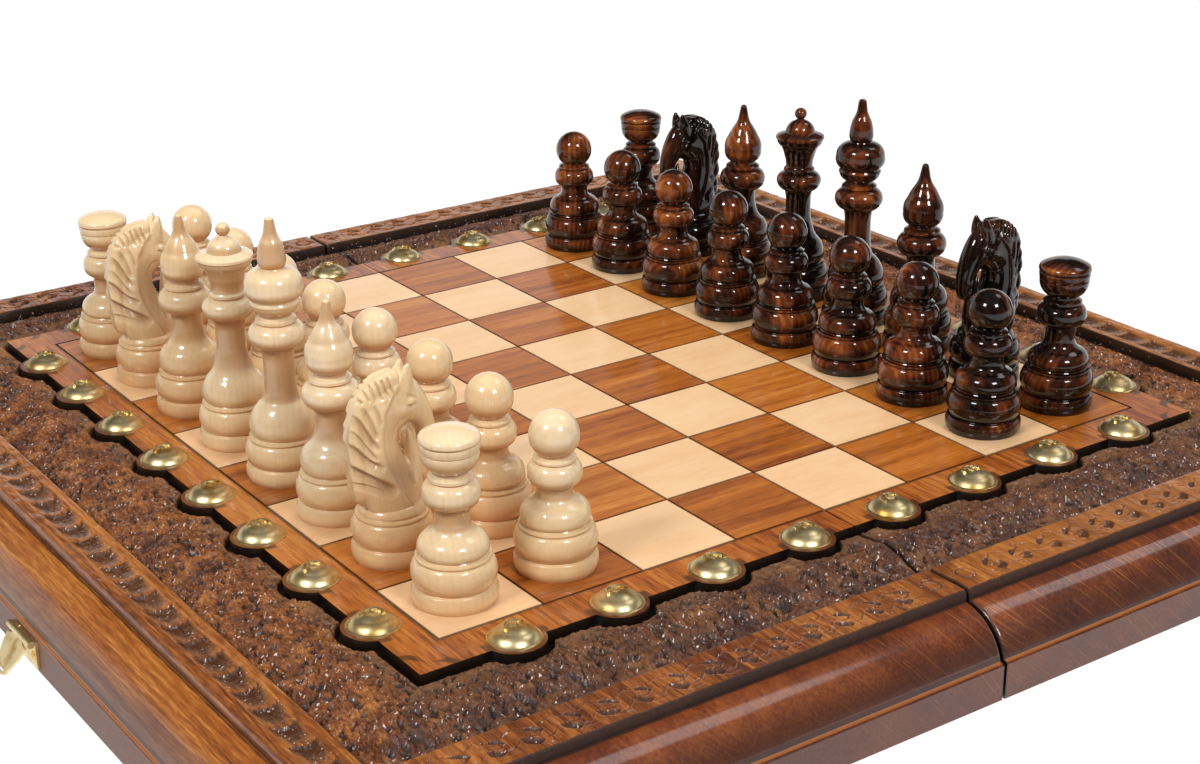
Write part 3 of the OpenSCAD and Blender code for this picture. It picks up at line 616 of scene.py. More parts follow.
# %% Brass and felt
def pale_brass():
    """Polished brass with cloudy tarnish and faint scratches."""
    finish = Finish(bpy.data.materials.new("pale_brass"))
    tarnish = finish.grain(130, detail=3)
    scratch = finish.grain((1800, 300, 900))
    return finish.done({
        "Base Color": finish.mix(tarnish.between(0.45, 0.75), "#F8E4AE", "#CC9E4C"),
        "Metallic": 1.0, "Roughness": 0.26 + tarnish * 0.2 + scratch * 0.05,
        "Normal": finish.bump(tarnish + scratch * 0.12, 0.2 * MM, 0.6)})


def pad_felt():
    """Dull green felt of matted fibres."""
    finish = Finish(bpy.data.materials.new("pad_felt"))
    fibre = finish.grain(2400, detail=4, roughness=0.7)
    return finish.done({
        "Base Color": finish.ramp(fibre, [(0.3, "#1C2319"), (0.7, "#3C4A38")]),
        "Roughness": 0.95, "Sheen Weight": 0.3, "Normal": finish.bump(fibre, 0.25 * MM, 1.0)})


brass, felt = pale_brass(), pad_felt()
print("metal and felt:", brass.name, felt.name)

# %% [markdown]
# ## Turned pieces
# A turner cuts these pieces from square blanks against a template, so every pawn is alike. The
# template is written as knots of radius, height and bulge in millimetres, where the bulge says how
# far the stretch to that knot bows out for each millimetre of its length. The outline becomes a
# wire of edges, and one spin round the upright axis makes the whole surface, as the lathe does.

# %% Outline from knots
def outline(knots, step=0.8):
    """Points in metres along knots of (across, up, bulge) in millimetres, each stretch an arc."""
    points = [Vector(knots[0][:2])]
    for before, (x, y, *bulge) in zip(knots, knots[1:]):
        start, end = Vector(before[:2]), Vector((x, y))
        chord = (end - start).length
        if not bulge:
            points.append(end)
            continue
        rise = bulge[0] * chord
        radius = (chord ** 2 / 4 + rise ** 2) / (2 * rise)
        along = (end - start) / chord
        aside = Vector((along.y, -along.x))
        steps = max(3, math.ceil(chord / step))
        for i in range(1, steps + 1):
            angle = 2 * math.atan(2 * bulge[0]) * (2 * i / steps - 1)
            points.append((start + end) / 2 + along * radius * math.sin(angle)
                          + aside * (radius * math.cos(angle) - radius + rise))
    return [point * MM for point in points]


def spin(points, steps=72):
    """Surface that an outline of (radius, height) points sweeps round the upright axis."""
    bm = bmesh.new()
    wire = [bm.verts.new((point.x, 0, point.y)) for point in points]
    edges = [bm.edges.new(pair) for pair in zip(wire, wire[1:])]
    bmesh.ops.spin(bm, geom=wire + edges, cent=(0, 0, 0), axis=(0, 0, 1),
                   angle=2 * math.pi, steps=steps, use_merge=True)
    bmesh.ops.remove_doubles(bm, verts=bm.verts, dist=0.001 * MM)
    bmesh.ops.recalc_face_normals(bm, faces=bm.faces)
    return bm


def plain_mesh(bm, name):
    """Mesh made from a bmesh, which is freed."""
    mesh = bpy.data.meshes.new(name)
    bm.to_mesh(mesh)
    bm.free()
    return mesh


def smooth_mesh(bm, name, sharp=35):
    """Mesh with smooth shading that keeps edges sharp from an angle on, in degrees."""
    mesh = plain_mesh(bm, name)
    mesh.shade_smooth()
    mesh.set_sharp_from_angle(angle=math.radians(sharp))
    return mesh


def show(name, mesh, finish, body, slot, *nodes):
    """Puts a finished piece in the scene with its finish, its body and the nodes it stands for."""
    piece = bpy.data.objects.new(name, mesh)
    scene.collection.objects.link(piece)
    mesh.materials.append(finish)
    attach(piece, body)
    if nodes:
        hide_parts(*nodes)
    return piece


def pushed(bm, edges):
    """Extrudes edges, and returns the new points and the new edges between them."""
    made = bmesh.ops.extrude_edge_only(bm, edges=edges)["geom"]
    verts = [part for part in made if isinstance(part, bmesh.types.BMVert)]
    fresh = set(verts)
    return verts, [part for part in made
                   if isinstance(part, bmesh.types.BMEdge) and fresh.issuperset(part.verts)]


print("a test spin has", len(spin(outline([[0, 0], [5, 0], [0, 5, 0.2]])).faces), "faces")

# %% Turner's templates
FOOT = [[0, 0], [13.9, 0], [14.1, 5.4, 0.12], [13.3, 6.1, 0.2], [13.1, 6.3], [12.9, 15.1, 0.16],
        [12.4, 15.4], [12.6, 15.7], [12.6, 16.6, 0.15], [11.5, 16.9], [11.3, 17.2]]
TEMPLATES = {
    "pawn": [
        [12.0, 19.6, 0.14], [9.2, 24.2, 0.14], [6.7, 26.2, -0.08], [6.2, 28.5, -0.05],
        [6.3, 30.4, -0.03], [9.3, 35.0, 0.2], [7.4, 38.7, 0.14], [7.0, 38.9], [6.9, 40.4, 0.3],
        [5.6, 41.0], [5.5, 41.4], [0, 56.6, 0.35]],
    "rook": [
        [12.0, 19.2, 0.12], [8.9, 23.9, 0.14], [6.4, 26.4, -0.08], [5.9, 29.5, -0.05],
        [6.1, 33.4, -0.03], [9.6, 38.9, 0.2], [7.6, 42.4, 0.14], [7.1, 42.7], [6.9, 44.7, 0.3],
        [5.9, 45.3], [5.8, 46], [9.6, 51.9, 0.14], [9.6, 52.6], [9.2, 52.9], [9.7, 53.3],
        [9.9, 55.5, 0.03], [9.5, 55.9], [10, 56.3], [10.1, 57.6, 0.1], [8.9, 58.9, 0.15],
        [0, 60.9, 0.07]],
    "bishop": [
        [12.1, 21.5, 0.1], [9.2, 27.0, 0.12], [6.6, 32.0, -0.08], [6.0, 37.0, -0.04],
        [6.2, 40.8, -0.03], [10.4, 46.6, 0.2], [7.9, 50.2, 0.13], [7.3, 50.5], [6.9, 52.6, 0.3],
        [5.9, 53.2], [5.8, 54.2], [8.4, 59.6, 0.16], [6.9, 65.8, 0.1], [3.8, 71.3, 0.03],
        [2.2, 75.5, -0.05], [1.4, 79.4], [0, 80.4, 0.2]],
    "queen": [
        [12.2, 22, 0.1], [9.0, 28, 0.08], [6.9, 33, -0.06], [5.6, 39, -0.03], [5.6, 45],
        [6.4, 50, -0.05], [9.9, 55.2, 0.18], [7.0, 58.2, 0.14], [6.4, 58.5], [6.2, 60.6, 0.3],
        [5.9, 61.2], [6.8, 66, -0.04], [8.6, 70.5, -0.05], [10.3, 73.2, 0.12], [9.9, 75.4, 0.3],
        [6.6, 76.4], [2.2, 81.8, 0.16], [1.4, 82.5], [0, 87.3, 0.4]],
    "king": [
        [12.1, 22, 0.1], [10.5, 26.5, 0.06], [7.2, 30.2, 0.05], [5.9, 35, -0.06], [5.7, 40],
        [5.7, 46], [6.4, 51, -0.03], [10.4, 56.2, 0.18], [7.9, 60, 0.13], [7.2, 60.3],
        [6.7, 62.4, 0.3], [5.9, 63.1], [6, 64], [8.9, 67.6, 0.14], [8.9, 68.6, 0.2], [8.6, 69.2],
        [8.7, 69.7], [10.5, 74.8, 0.16], [8.2, 79.6, 0.12], [4.8, 80.9, 0.04], [4.6, 81.3],
        [5.1, 85, 0.08], [3.9, 90.7, 0.04], [2.3, 94.4, -0.03], [1.8, 98.2], [0, 99.5, 0.25]]}

# %% Thirty turned pieces
turned = {kind: smooth_mesh(spin(outline(FOOT + knots)), f"turned_{kind}")
          for kind, knots in TEMPLATES.items()}
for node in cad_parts:
    side, *words = node.split("_")
    if words[0] in turned:
        low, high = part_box(node)
        mesh = turned[words[0]].copy()
        mesh.transform(Matrix.Translation(((low.x + high.x) / 2, (low.y + high.y) / 2, low.z)))
        show(f"turned_{node}", mesh, PIECE_WOOD[side][0], node, PIECE_SLOT[side], node)
print({kind: len(mesh.polygons) for kind, mesh in turned.items()}, "faces in each kind")

# %% [markdown]
# ## Knights
# Only the foot of a knight is turned. The horse above it is carved with gouges from the same blank:
# a strong neck that bends over to a muzzle hanging free over the chest, a heavy mane behind it, two
# ears, and V cuts that part the mane into locks. Limbs are skinned over stations along the neck, one
# voxel remesh makes them a single skin, and the cuts are then pressed into that skin along its
# normals, each with one steep wall and one long slope, as a gouge leaves them. The flank of the mane
# is raised a little over the neck, and an attribute keeps how deep each point was cut, because the
# wood of the cuts is darker; it also marks the inside of the hole under the muzzle, which gets
# painted shade.

# %% Skinned limbs
def section(x, z, heading, depth, width, y=0.0):
    """Matrix that lays a unit circle across a limb at one station, in millimetres and degrees."""
    h = math.radians(heading)
    along, deep = Vector((math.cos(h), 0, math.sin(h))), Vector((-math.sin(h), 0, math.cos(h)))
    turn = Matrix((deep * depth, Vector((0, width, 0)), along)).transposed()
    return Matrix.Translation((x, y, z)) @ turn.to_4x4()


def between_stations(stations, step):
    """More stations on a smooth curve through the given ones."""
    rows = [stations[0], *stations, stations[-1]]
    out = []
    for a, b, c, d in zip(rows, rows[1:], rows[2:], rows[3:]):
        steps = max(1, round(math.dist(b[:2], c[:2]) / step))
        for t in (i / steps for i in range(steps)):
            out.append([0.5 * (2 * q + (r - p) * t + (2 * p - 5 * q + 4 * r - s) * t * t
                               + (3 * q - p - 3 * r + s) * t ** 3) for p, q, r, s in zip(a, b, c, d)])
    return out + [list(stations[-1])]


def limb(bm, stations, y=0.0, step=1.2, sides=32):
    """Skins one limb by pushing a ring of edges along its stations."""
    rows = between_stations(stations, step)
    here = section(*rows[0], y)
    ring = bmesh.ops.create_circle(bm, cap_ends=False, segments=sides, radius=1, matrix=here)["verts"]
    edges = list({edge for vert in ring for edge in vert.link_edges})
    ends = list(edges)
    for row in rows[1:]:
        ring, edges = pushed(bm, edges)
        there = section(*row, y)
        bmesh.ops.transform(bm, matrix=there @ here.inverted(), verts=ring)
        here = there
    bmesh.ops.holes_fill(bm, edges=ends + edges, sides=0)


print("limb helper ready")

# %% Horse of a knight, in millimetres
NECK = [(0.5, 17, 90, 9.6, 9), (-1, 24, 92, 10.6, 8.4), (-3, 31, 92, 10, 7.4),
        (-4.4, 37.5, 90, 8.6, 6.8), (-5.2, 43.5, 84, 8.0, 6.4), (-4.8, 49.0, 68, 9.2, 6),
        (-1.6, 53.2, 46, 9.8, 5.8), (2.8, 55.4, 22, 9.4, 5.6), (7.0, 55.2, -8, 8.6, 5.2),
        (10.3, 52.0, -36, 5.9, 4.8), (12.6, 48.2, -58, 4.3, 4.3), (13.9, 44, -74, 3.6, 3.8),
        (14.3, 40.5, -84, 3.2, 3.5), (14.2, 37.4, -90, 2.7, 3.0), (14.0, 35.4, -92, 1.5, 1.9)]
MANE = [(-10.8, 22, 98, 1.6, 1.8), (-11, 24.8, 96, 3.2, 3.3), (-11.3, 30, 94, 3.9, 3.8),
        (-11.6, 36.8, 90, 4.0, 4.0), (-11.8, 44.2, 84, 4.0, 4.0), (-11, 51.6, 72, 4.0, 3.9),
        (-8, 58.2, 56, 4.2, 3.7), (-3.4, 62.0, 30, 4.0, 3.5), (1.0, 63.2, 6, 3.5, 3.3),
        (4.6, 63.4, 2, 3.0, 3.0), (7.0, 62.8, -24, 2.4, 2.4)]
EAR = [(5.0, 59.5, 80, 3.2, 2.6), (5.8, 63.5, 82, 2.8, 2.2), (6.6, 66.8, 84, 1.7, 1.4),
       (7.0, 69.0, 84, 0.6, 0.5)]
CHEST = [(6.0, 19, 86, 4.6, 5.6), (7.2, 25, 86, 4.8, 5.2), (8.2, 30.5, 90, 3.8, 4.2),
         (9.0, 35.0, 92, 2.9, 3.2), (8.7, 38.8, 98, 2.2, 2.5), (8.0, 42.0, 102, 1.2, 1.5),
         (7.3, 44.6, 104, 0.4, 0.5)]
VOXEL, SMOOTHINGS = 0.38, 6

horse = bmesh.new()
limb(horse, NECK)
limb(horse, MANE)
limb(horse, CHEST)
for aside in (-2.7, 2.7):
    limb(horse, EAR, y=aside)
bmesh.ops.recalc_face_normals(horse, faces=horse.faces)
print("horse limbs:", len(horse.faces), "faces")


# %% One skin over the limbs
def fused(bm, voxel, rounds):
    """One closed skin over overlapping limbs, with the steps of the voxels smoothed away."""
    rough = bpy.data.objects.new("limbs", plain_mesh(bm, "limbs"))
    scene.collection.objects.link(rough)
    remesh = rough.modifiers.new("skin", "REMESH")
    remesh.mode, remesh.voxel_size = "VOXEL", voxel
    skin = bpy.data.meshes.new_from_object(rough.evaluated_get(bpy.context.evaluated_depsgraph_get()))
    bpy.data.objects.remove(rough)
    bm = bmesh.new()
    bm.from_mesh(skin)
    for _ in range(rounds):
        bmesh.ops.smooth_vert(bm, verts=bm.verts, factor=0.5,
                              use_axis_x=True, use_axis_y=True, use_axis_z=True)
    bm.to_mesh(skin)
    bm.free()
    return skin


skin = fused(horse, VOXEL, SMOOTHINGS)
print("skin of the horse:", len(skin.polygons), "faces")

# %% Gouge cuts on the flanks: path in (x, z), width of the steep and the long side, depth
LOCKS = [
    ([(-16.5, 37.6), (-13.5, 35.2), (-9.5, 32.4), (-5.2, 29.6), (-1.6, 26.6)], 1.3, 4.0, 2.1),
    ([(-15.6, 45.0), (-12.8, 41.4), (-9.8, 38.2), (-5.8, 35.4)], 1.2, 3.4, 1.8),
    ([(-14.8, 50.0), (-12.2, 46.0), (-9.8, 42.0), (-8.0, 38.6)], 0.9, 2.2, 1.1),
    ([(-13.8, 55.0), (-11.6, 51.0), (-9.6, 46.6), (-7.4, 42.0)], 1.1, 3.0, 1.7),
    ([(-11.0, 57.5), (-9.4, 54.0), (-8.0, 49.0), (-7.2, 46.0)], 0.8, 2.2, 1.2),
    ([(-15.4, 31.4), (-11.5, 30.0), (-7.5, 28.4), (-4.5, 26.8)], 0.9, 2.6, 1.0),
    ([(-7.2, 57.5), (-6.0, 54.5), (-5.2, 50.5)], 0.7, 1.8, 0.9)]
FLUTES = [([(x - 0.2, top - 1.6), (x + 0.4, top - 3.4), (x + 1.4, 58.8)], 0.45, 1.2, 0.9)
          for x, top in ((-11.8, 63), (-9.6, 65), (-7.4, 66), (-5.2, 66.5), (-3.0, 66.8), (-0.8, 67))]
MANE_EDGE = [(3.2, 74), (3.0, 62), (-0.8, 58.6), (-4.0, 54), (-5.2, 47), (-5.2, 40), (-3.2, 33),
             (0.8, 25)]
MANE_STEP = 0.9
FACE = [
    ([(4.6, 55.6), (6.4, 54.4), (8.6, 55.0)], 0.6, 1.0, 0.8),
    ([(4.8, 58.2), (6.8, 58.2), (8.8, 56.6)], 0.5, 0.8, 0.45),
    ([(-1.0, 44.5), (-0.4, 47.5), (1.6, 50.2), (4.4, 51.2)], 0.7, 1.6, 0.7),
    ([(11.4, 40.5), (13.2, 38.9), (15.6, 38.4)], 0.45, 0.6, 0.8),
    ([(6.0, 25.5), (5.0, 30.2), (4.2, 35.0)], 0.8, 1.5, 1.4)]
HOLE = (8.0, 42.5)
BULGES = [((6.6, 56.2), 1.5, 0.7), ((13.8, 42.6), 1.6, 0.45), ((3.6, 53.6), 3.6, 0.7)]


def along_path(points, path):
    """Signed distance of each point from a path and how far along it lies, from 0 to 1."""
    nearest, signed, share = np.full(len(points), 1e9), np.zeros(len(points)), np.zeros(len(points))
    for k, (a, b) in enumerate(zip(path, path[1:])):
        a, b = np.array(a), np.array(b)
        t = np.clip((points - a) @ (b - a) / ((b - a) @ (b - a)), 0, 1)
        off = points - a - t[:, None] * (b - a)
        distance = np.linalg.norm(off, axis=1)
        side = np.sign((b - a)[0] * off[:, 1] - (b - a)[1] * off[:, 0])
        closer = distance < nearest
        nearest[closer] = distance[closer]
        signed[closer] = (distance * side)[closer]
        share[closer] = ((k + t) / (len(path) - 1))[closer]
    return signed, share


def carve(mesh):
    """Presses the cuts into the skin, raises mane, eyes and cheeks, and keeps the depth of the cuts,
    with painted shade for the inside of the hole.
    """
    places, normals = np.empty((2, len(mesh.vertices), 3))
    mesh.vertices.foreach_get("co", places.ravel())
    mesh.vertices.foreach_get("normal", normals.ravel())
    flat = places[:, (0, 2)].copy()
    flank = np.clip((np.abs(normals[:, 1]) - 0.1) / 0.4, 0, 1) ** 1.5
    push = np.zeros(len(places))
    for path, steep, gentle, depth in LOCKS + FLUTES + FACE:
        signed, share = along_path(flat, path)
        wall = np.clip(1 - np.where(signed > 0, signed / steep, -signed / gentle), 0, 1)
        taper = np.clip(np.minimum(share, 1 - share) * 5, 0, 1) ** 0.7
        push = np.maximum(push, depth * taper * flank * wall ** 1.3)
    # Painted shade: points inside the hole under the muzzle are marked as if cut, so they are coloured
    # darker.
    inward = np.array(HOLE) - flat
    away = np.linalg.norm(inward, axis=1)
    painted_hole_shade = np.clip((inward * normals[:, (0, 2)]).sum(axis=1) / away, 0, 1)
    painted_hole_shade *= np.clip(2 - away / 4.5, 0, 1)
    hollow = mesh.attributes.new("hollow", "FLOAT", "POINT")
    hollow.data.foreach_set("value", np.clip(push / 1.3 + painted_hole_shade * 1.2, 0, 1).astype(np.float32))
    push -= MANE_STEP * flank * np.clip(0.5 - along_path(flat, MANE_EDGE)[0] / 1.2, 0, 1)
    for centre, radius, height in BULGES:
        reach = np.linalg.norm(flat - centre, axis=1) / radius
        push -= height * flank * np.exp(-reach ** 2 * 1.6)
    places -= normals * push[:, None]
    mesh.vertices.foreach_set("co", places.ravel())
    mesh.update()


carve(skin)
print("carved skin:", len(skin.vertices), "points")

# %% Four knights
KNIGHT_FOOT = FOOT + [[11.5, 18, 0.2], [8.8, 20.6, 0.12], [0, 21]]
whole = bmesh.new()
whole.from_mesh(skin)
bmesh.ops.scale(whole, vec=(MM, MM, MM), verts=whole.verts)
foot = smooth_mesh(spin(outline(KNIGHT_FOOT)), "knight_foot")
whole.from_mesh(foot)
horse_mesh = smooth_mesh(whole, "carved_knight", 40)
for side, turn in (("white", 0), ("black", math.pi)):
    foot_x = sum(corner.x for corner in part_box(f"{side}_rook_h")) / 2
    for node in (f"{side}_knight_g", f"{side}_knight_b"):
        low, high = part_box(node)
        mesh = horse_mesh.copy()
        mesh.transform(Matrix.Translation((foot_x, (low.y + high.y) / 2, low.z))
                       @ Matrix.Rotation(turn, 4, "Z"))
        show(f"carved_{node}", mesh, PIECE_WOOD[side][1], node, PIECE_SLOT[side], node)
print("a knight has", len(horse_mesh.polygons), "faces")

# %% [markdown]
# ## Carved panel of each half
# The top of each half is one panel: a slab with a rounded moulding round its three outer sides, a
# band with chip carving, and a coarse ground that the carver chopped with a small gouge right up to
# the studs. The slab is a profile pushed round the three sides with mitred corners. The ground and
# the band are height fields: one grid on each of the three sides, pressed down point by point, with
# the depth of each cut kept as an attribute that colours the cuts darker; the walls count as fully
# cut, which paints them as shade.

# %% Profile pushed round a half
POCKET_IN, POCKET_FLOOR = 26.8 * MM, deck_top - 1.8 * MM
LEDGE, WALL_IN = deck_top + 0.2 * MM, 77.4 * MM
SIDES = (("white", -1), ("black", 1))
CORNERS = [(fold_x, -1, 0), (FIELD_HALF, -1, 1), (FIELD_HALF, 1, 1), (fold_x, 1, 0)]


def mitred(profile, side):
    """Pushes a profile of (outward, height) points from the fold round the outer sides of a half."""
    bm = bmesh.new()
    verts = [bm.verts.new() for _ in profile]
    edges = [bm.edges.new(pair) for pair in zip(verts, verts[1:])]
    for k, (x, y_way, x_way) in enumerate(CORNERS):
        if k:
            verts, edges = pushed(bm, edges)
        for vert, (out, z) in zip(verts, profile):
            vert.co = (side * (x + x_way * out), y_way * (FIELD_HALF + out), z)
    return bm


def same(a, b):
    """True when two lengths in metres are one."""
    return abs(a - b) < 1e-6


def close(bm):
    """Caps what is open and turns every face outwards."""
    bmesh.ops.holes_fill(bm, edges=[edge for edge in bm.edges if edge.is_boundary], sides=0)
    bmesh.ops.recalc_face_normals(bm, faces=bm.faces)


# %% Slab with its moulding
MOULDING = outline([[MOULD_IN / MM, 30.0], [MOULD_OUT / MM, 14.9, -0.16]], 1.2)
SLAB = [(POCKET_IN, deck_top), (POCKET_IN, POCKET_FLOOR), (BAND_OUT, POCKET_FLOOR), (BAND_OUT, LEDGE),
        *((point.x, point.y) for point in MOULDING), (WALL_IN, rail_top), (WALL_IN, tray_ceiling)]


def at_fold(corners):
    """True for an edge of the moulding's outline on the fold's face, which is rounded."""
    aside = [abs(corner.y) - FIELD_HALF for corner in corners]
    heights = [corner.z for corner in corners]
    return (all(same(abs(corner.x), fold_x) for corner in corners)
            and min(aside) > BAND_OUT - 1e-6 and max(aside) > BAND_OUT + 0.1 * MM
            and max(heights) > rail_top + 1e-6 and min(heights) < LEDGE + 1e-6
            and not all(same(out, WALL_IN) for out in aside))


for name, side in SIDES:
    bm = mitred(SLAB, side)
    for z in (deck_top, tray_ceiling):
        bmesh.ops.contextual_create(bm, geom=[vert for vert in bm.verts if same(vert.co.z, z)])
    close(bm)
    rim = [edge for edge in bm.edges if at_fold([vert.co for vert in edge.verts])]
    bmesh.ops.bevel(bm, geom=rim, offset=1.3 * MM, segments=4, profile=0.5, affect="EDGES", material=-1)
    print(name, "slab:", len(bm.faces), "faces,", len(rim), "edges rounded at the fold")
    show(f"{name}_slab", smooth_mesh(bm, f"{name}_slab", 25), board_wood, f"{name}_half",
         "stained_wood", f"{name}_carved_board")


# %% Chance that is the same each time
def dice(column, row, seed):
    """A number from 0 to 1 for each cell of a grid."""
    return np.modf(np.abs(np.sin(column * 127.1 + row * 311.7 + seed * 74.7)) * 43758.5453)[0]


def ease(value, low, high):
    """Smooth rise from 0 at low to 1 at high."""
    share = np.clip((value - low) / (high - low), 0, 1)
    return share * share * (3 - 2 * share)


def drift(x, y, seed):
    """Smooth hills and hollows from -1 to 1, about one for each unit of x and y."""
    column, row = np.floor(x), np.floor(y)
    u, v = ease(x - column, 0, 1), ease(y - row, 0, 1)
    low = dice(column, row, seed) * (1 - u) + dice(column + 1, row, seed) * u
    high = dice(column, row + 1, seed) * (1 - u) + dice(column + 1, row + 1, seed) * u
    return 2 * (low * (1 - v) + high * v) - 1


def scattered(x, y, seed):
    """Nearest of many scattered points: its lead on the next one, the way from it, and its cell."""
    nearest, second = np.full(x.shape, 9.0), np.full(x.shape, 9.0)
    found = np.zeros((4, *x.shape))
    for a in (-1, 0, 1):
        for b in (-1, 0, 1):
            column, row = np.floor(x) + a, np.floor(y) + b
            dx = x - column - 0.15 - 0.7 * dice(column, row, seed)
            dy = y - row - 0.15 - 0.7 * dice(column, row, seed + 1)
            distance = np.hypot(dx, dy)
            closer = distance < nearest
            second = np.where(closer, nearest, np.minimum(second, distance))
            nearest = np.where(closer, distance, nearest)
            found = np.where(closer, (dx, dy, column, row), found)
    return second - nearest, found[:2], found[2:]


def rounding(distance, radius):
    """How far a rounded edge has dropped at a distance from it."""
    share = 1 - np.clip(distance / radius, 0, 1)
    return radius * (1 - np.sqrt(1 - share * share))


print("three throws:", [round(float(dice(k, 1, 2)), 3) for k in range(3)])

# %% Height fields round a half
PITCH = 0.42 * MM
PLACES = ("near", "end", "far")


def height_field(name, side, place, inner, outer, inner_edge, surface):
    """Mitred grid on one side of a half, shaped by surface, with walls down to the pocket floor."""
    length = FIELD_HALF + outer
    bm = bmesh.new()
    bmesh.ops.create_grid(bm, x_segments=round((2 * length if place == "end" else length) / PITCH),
                          y_segments=round((outer - inner) / PITCH), size=0.5)
    skirt, _ = pushed(bm, [edge for edge in bm.edges if edge.is_boundary])
    bmesh.ops.translate(bm, vec=(0, 0, -1), verts=skirt)
    mesh = plain_mesh(bm, name)
    places = np.empty((len(mesh.vertices), 3))
    mesh.vertices.foreach_get("co", places.ravel())
    u, v, wall = places[:, 0] + 0.5, places[:, 1] + 0.5, places[:, 2] < -0.5
    corner = FIELD_HALF + inner + (outer - inner) * v
    along = (2 * u - 1) * corner if place == "end" else fold_x + u * (corner - fold_x)
    edge = inner_edge(place, along)
    out = edge + (outer - edge) * v
    far_out = FIELD_HALF + out
    x, y = {"near": (along, -far_out), "far": (along, far_out), "end": (far_out, along)}[place]
    z, hollow = surface(place, along, out, out - edge, side * x, y)
    places[:] = np.stack((side * x, y, np.where(wall, POCKET_FLOOR, z)), axis=1)
    mesh.vertices.foreach_set("co", places.ravel())
    depth = mesh.attributes.new("hollow", "FLOAT", "POINT")
    # The walls down to the pocket floor count as fully cut, which paints them dark as shade.
    depth.data.foreach_set("value", np.where(wall, 1.0, hollow))
    bm = bmesh.new()
    bm.from_mesh(mesh)
    close(bm)
    print(name, "has", len(bm.faces), "faces")
    return bm


def carve_round(kind, finish, inner, outer, inner_edge, surface):
    """Makes and shows one kind of carving on the three sides of both halves."""
    for name, side in SIDES:
        for place in PLACES:
            title = f"{name}_{place}_{kind}"
            bm = height_field(title, side, place, inner, outer, inner_edge, surface)
            show(title, smooth_mesh(bm, title, 60), finish, f"{name}_half", "stained_wood",
                 f"{name}_carved_board")


# %% [markdown]
# ### Chopped ground
# The gouge went in at every angle and tore small chips out, about two millimetres wide and three
# long. So the ground is laid out as scattered facets, each with its own height and tilt, some of
# them torn out deep, with creases between them. It swells to the height of the field and then falls
# to a groove along the band.

# %% Chopped ground
GROUND = np.array([point[:] for point in outline([
    [18, -5], [18.4, -2.0], [19.5, -1.6], [32.24, 0.5, 0.04], [40.07, -1, 0.03], [45.06, -3.19, 0.02],
    [52.6, -5.5, -0.03], [53.6, -5.5]])])


def scalloped(place, along):
    """The ragged inner edge of the ground, which runs round the lobes of the studs."""
    middle = (np.floor(along / SQUARE) + 0.5) * SQUARE
    lobe = STUD_OUT[place] + np.sqrt(np.maximum(0, LOBE_CLEAR ** 2 - (along - middle) ** 2))
    ragged = 0.4 * MM * drift(along / (1.3 * MM), along * 0, 21)
    ragged *= ease(abs(along), FIELD_HALF, FIELD_HALF - 4 * MM)
    return np.where(abs(middle) > FIELD_HALF, GROUND_IN, np.maximum(GROUND_IN, lobe)) + ragged


def chopped(place, along, out, inside, x, y):
    """Height of the chopped ground and how deep it was cut there."""
    x, y = x / MM, y / MM
    lead, way, cell = scattered(x / 2.0 + 0.4 * drift(x / 2.6, y / 2.6, 1),
                                y / 2.9 + 0.4 * drift(x / 2.6, y / 2.6, 2), 3)
    tilt = way[0] * (dice(*cell, 5) - 0.5) * 2.4 + way[1] * (dice(*cell, 6) - 0.5) * 2.4
    facet = (dice(*cell, 7) - 0.5) * 0.5 + np.clip(tilt, -0.5, 0.5)
    torn = ease(dice(*cell, 8), 0.74, 0.84) * ease(lead, 0.0, 0.35)
    crease = 1 - ease(lead, 0.0, 0.2)
    fibre = 0.14 * drift(x / 0.8, y / 1.5, 9) + 0.1 * drift(x / 0.45, y / 0.9, 10)
    cut = torn * 1.0 + crease * 0.3 - facet - fibre
    end = np.minimum(inside, BAND_IN - out + 0.6 * MM)
    if place != "end":
        end = np.minimum(end, along - fold_x)
    fade = ease(end, 0.0, 1.8 * MM)
    level = np.interp(np.maximum(out, 19.5 * MM), *GROUND.T)
    z = level + (0.45 * drift(x / 6, y / 6, 4) - cut - 0.3) * MM * fade - rounding(inside, 2.0 * MM)
    if place != "end":
        z -= rounding(along - fold_x, 1.2 * MM)
    return field_top + z, ease(cut, -0.1, 1.5) * fade


carve_round("ground", ground_wood, GROUND_IN, BAND_IN, scalloped, chopped)

# %% [markdown]
# ### Carved band
# On the two ends the carver cut a row of scales that overlap like tiles: each begins at a torn round
# lip, is deepest right behind it and runs out flat before the next one. On the long sides an S of
# two spindle cuts repeats, with thin engraved lines that lead from each S to the next, and a small
# engraved ring marks the fold.

# %% Scales of the two ends
SCALE_PITCH, SCALE_HALF, SCALE_ROUND = 12.6 * MM, 5.2 * MM, 5.4 * MM
SCALE_MIDDLE = BAND_IN + 8.8 * MM


def scales(along, across, x, y):
    """Depth of the scales in millimetres."""
    lip = SCALE_ROUND - np.sqrt(SCALE_ROUND ** 2 - np.minimum(abs(across), SCALE_HALF) ** 2)
    torn = (0.45 * drift(x / 0.9, y / 0.9, 11) + 0.3 * drift(x / 0.45, y / 0.45, 12)) * MM
    slide = ((lip - along + torn) / SCALE_PITCH) % 1
    row = np.maximum(0, 1 - ((abs(across) - torn * 0.5) / SCALE_HALF) ** 2) ** 0.6
    deep = (1 - slide) ** 1.1 * ease(slide, 0.0, 0.06)
    lines = 0.15 * np.sin(slide * 72) + 0.12 * drift(x / 0.7, y / 0.7, 13)
    return row * (1.5 * deep + lines * (0.4 + deep) + 0.42)


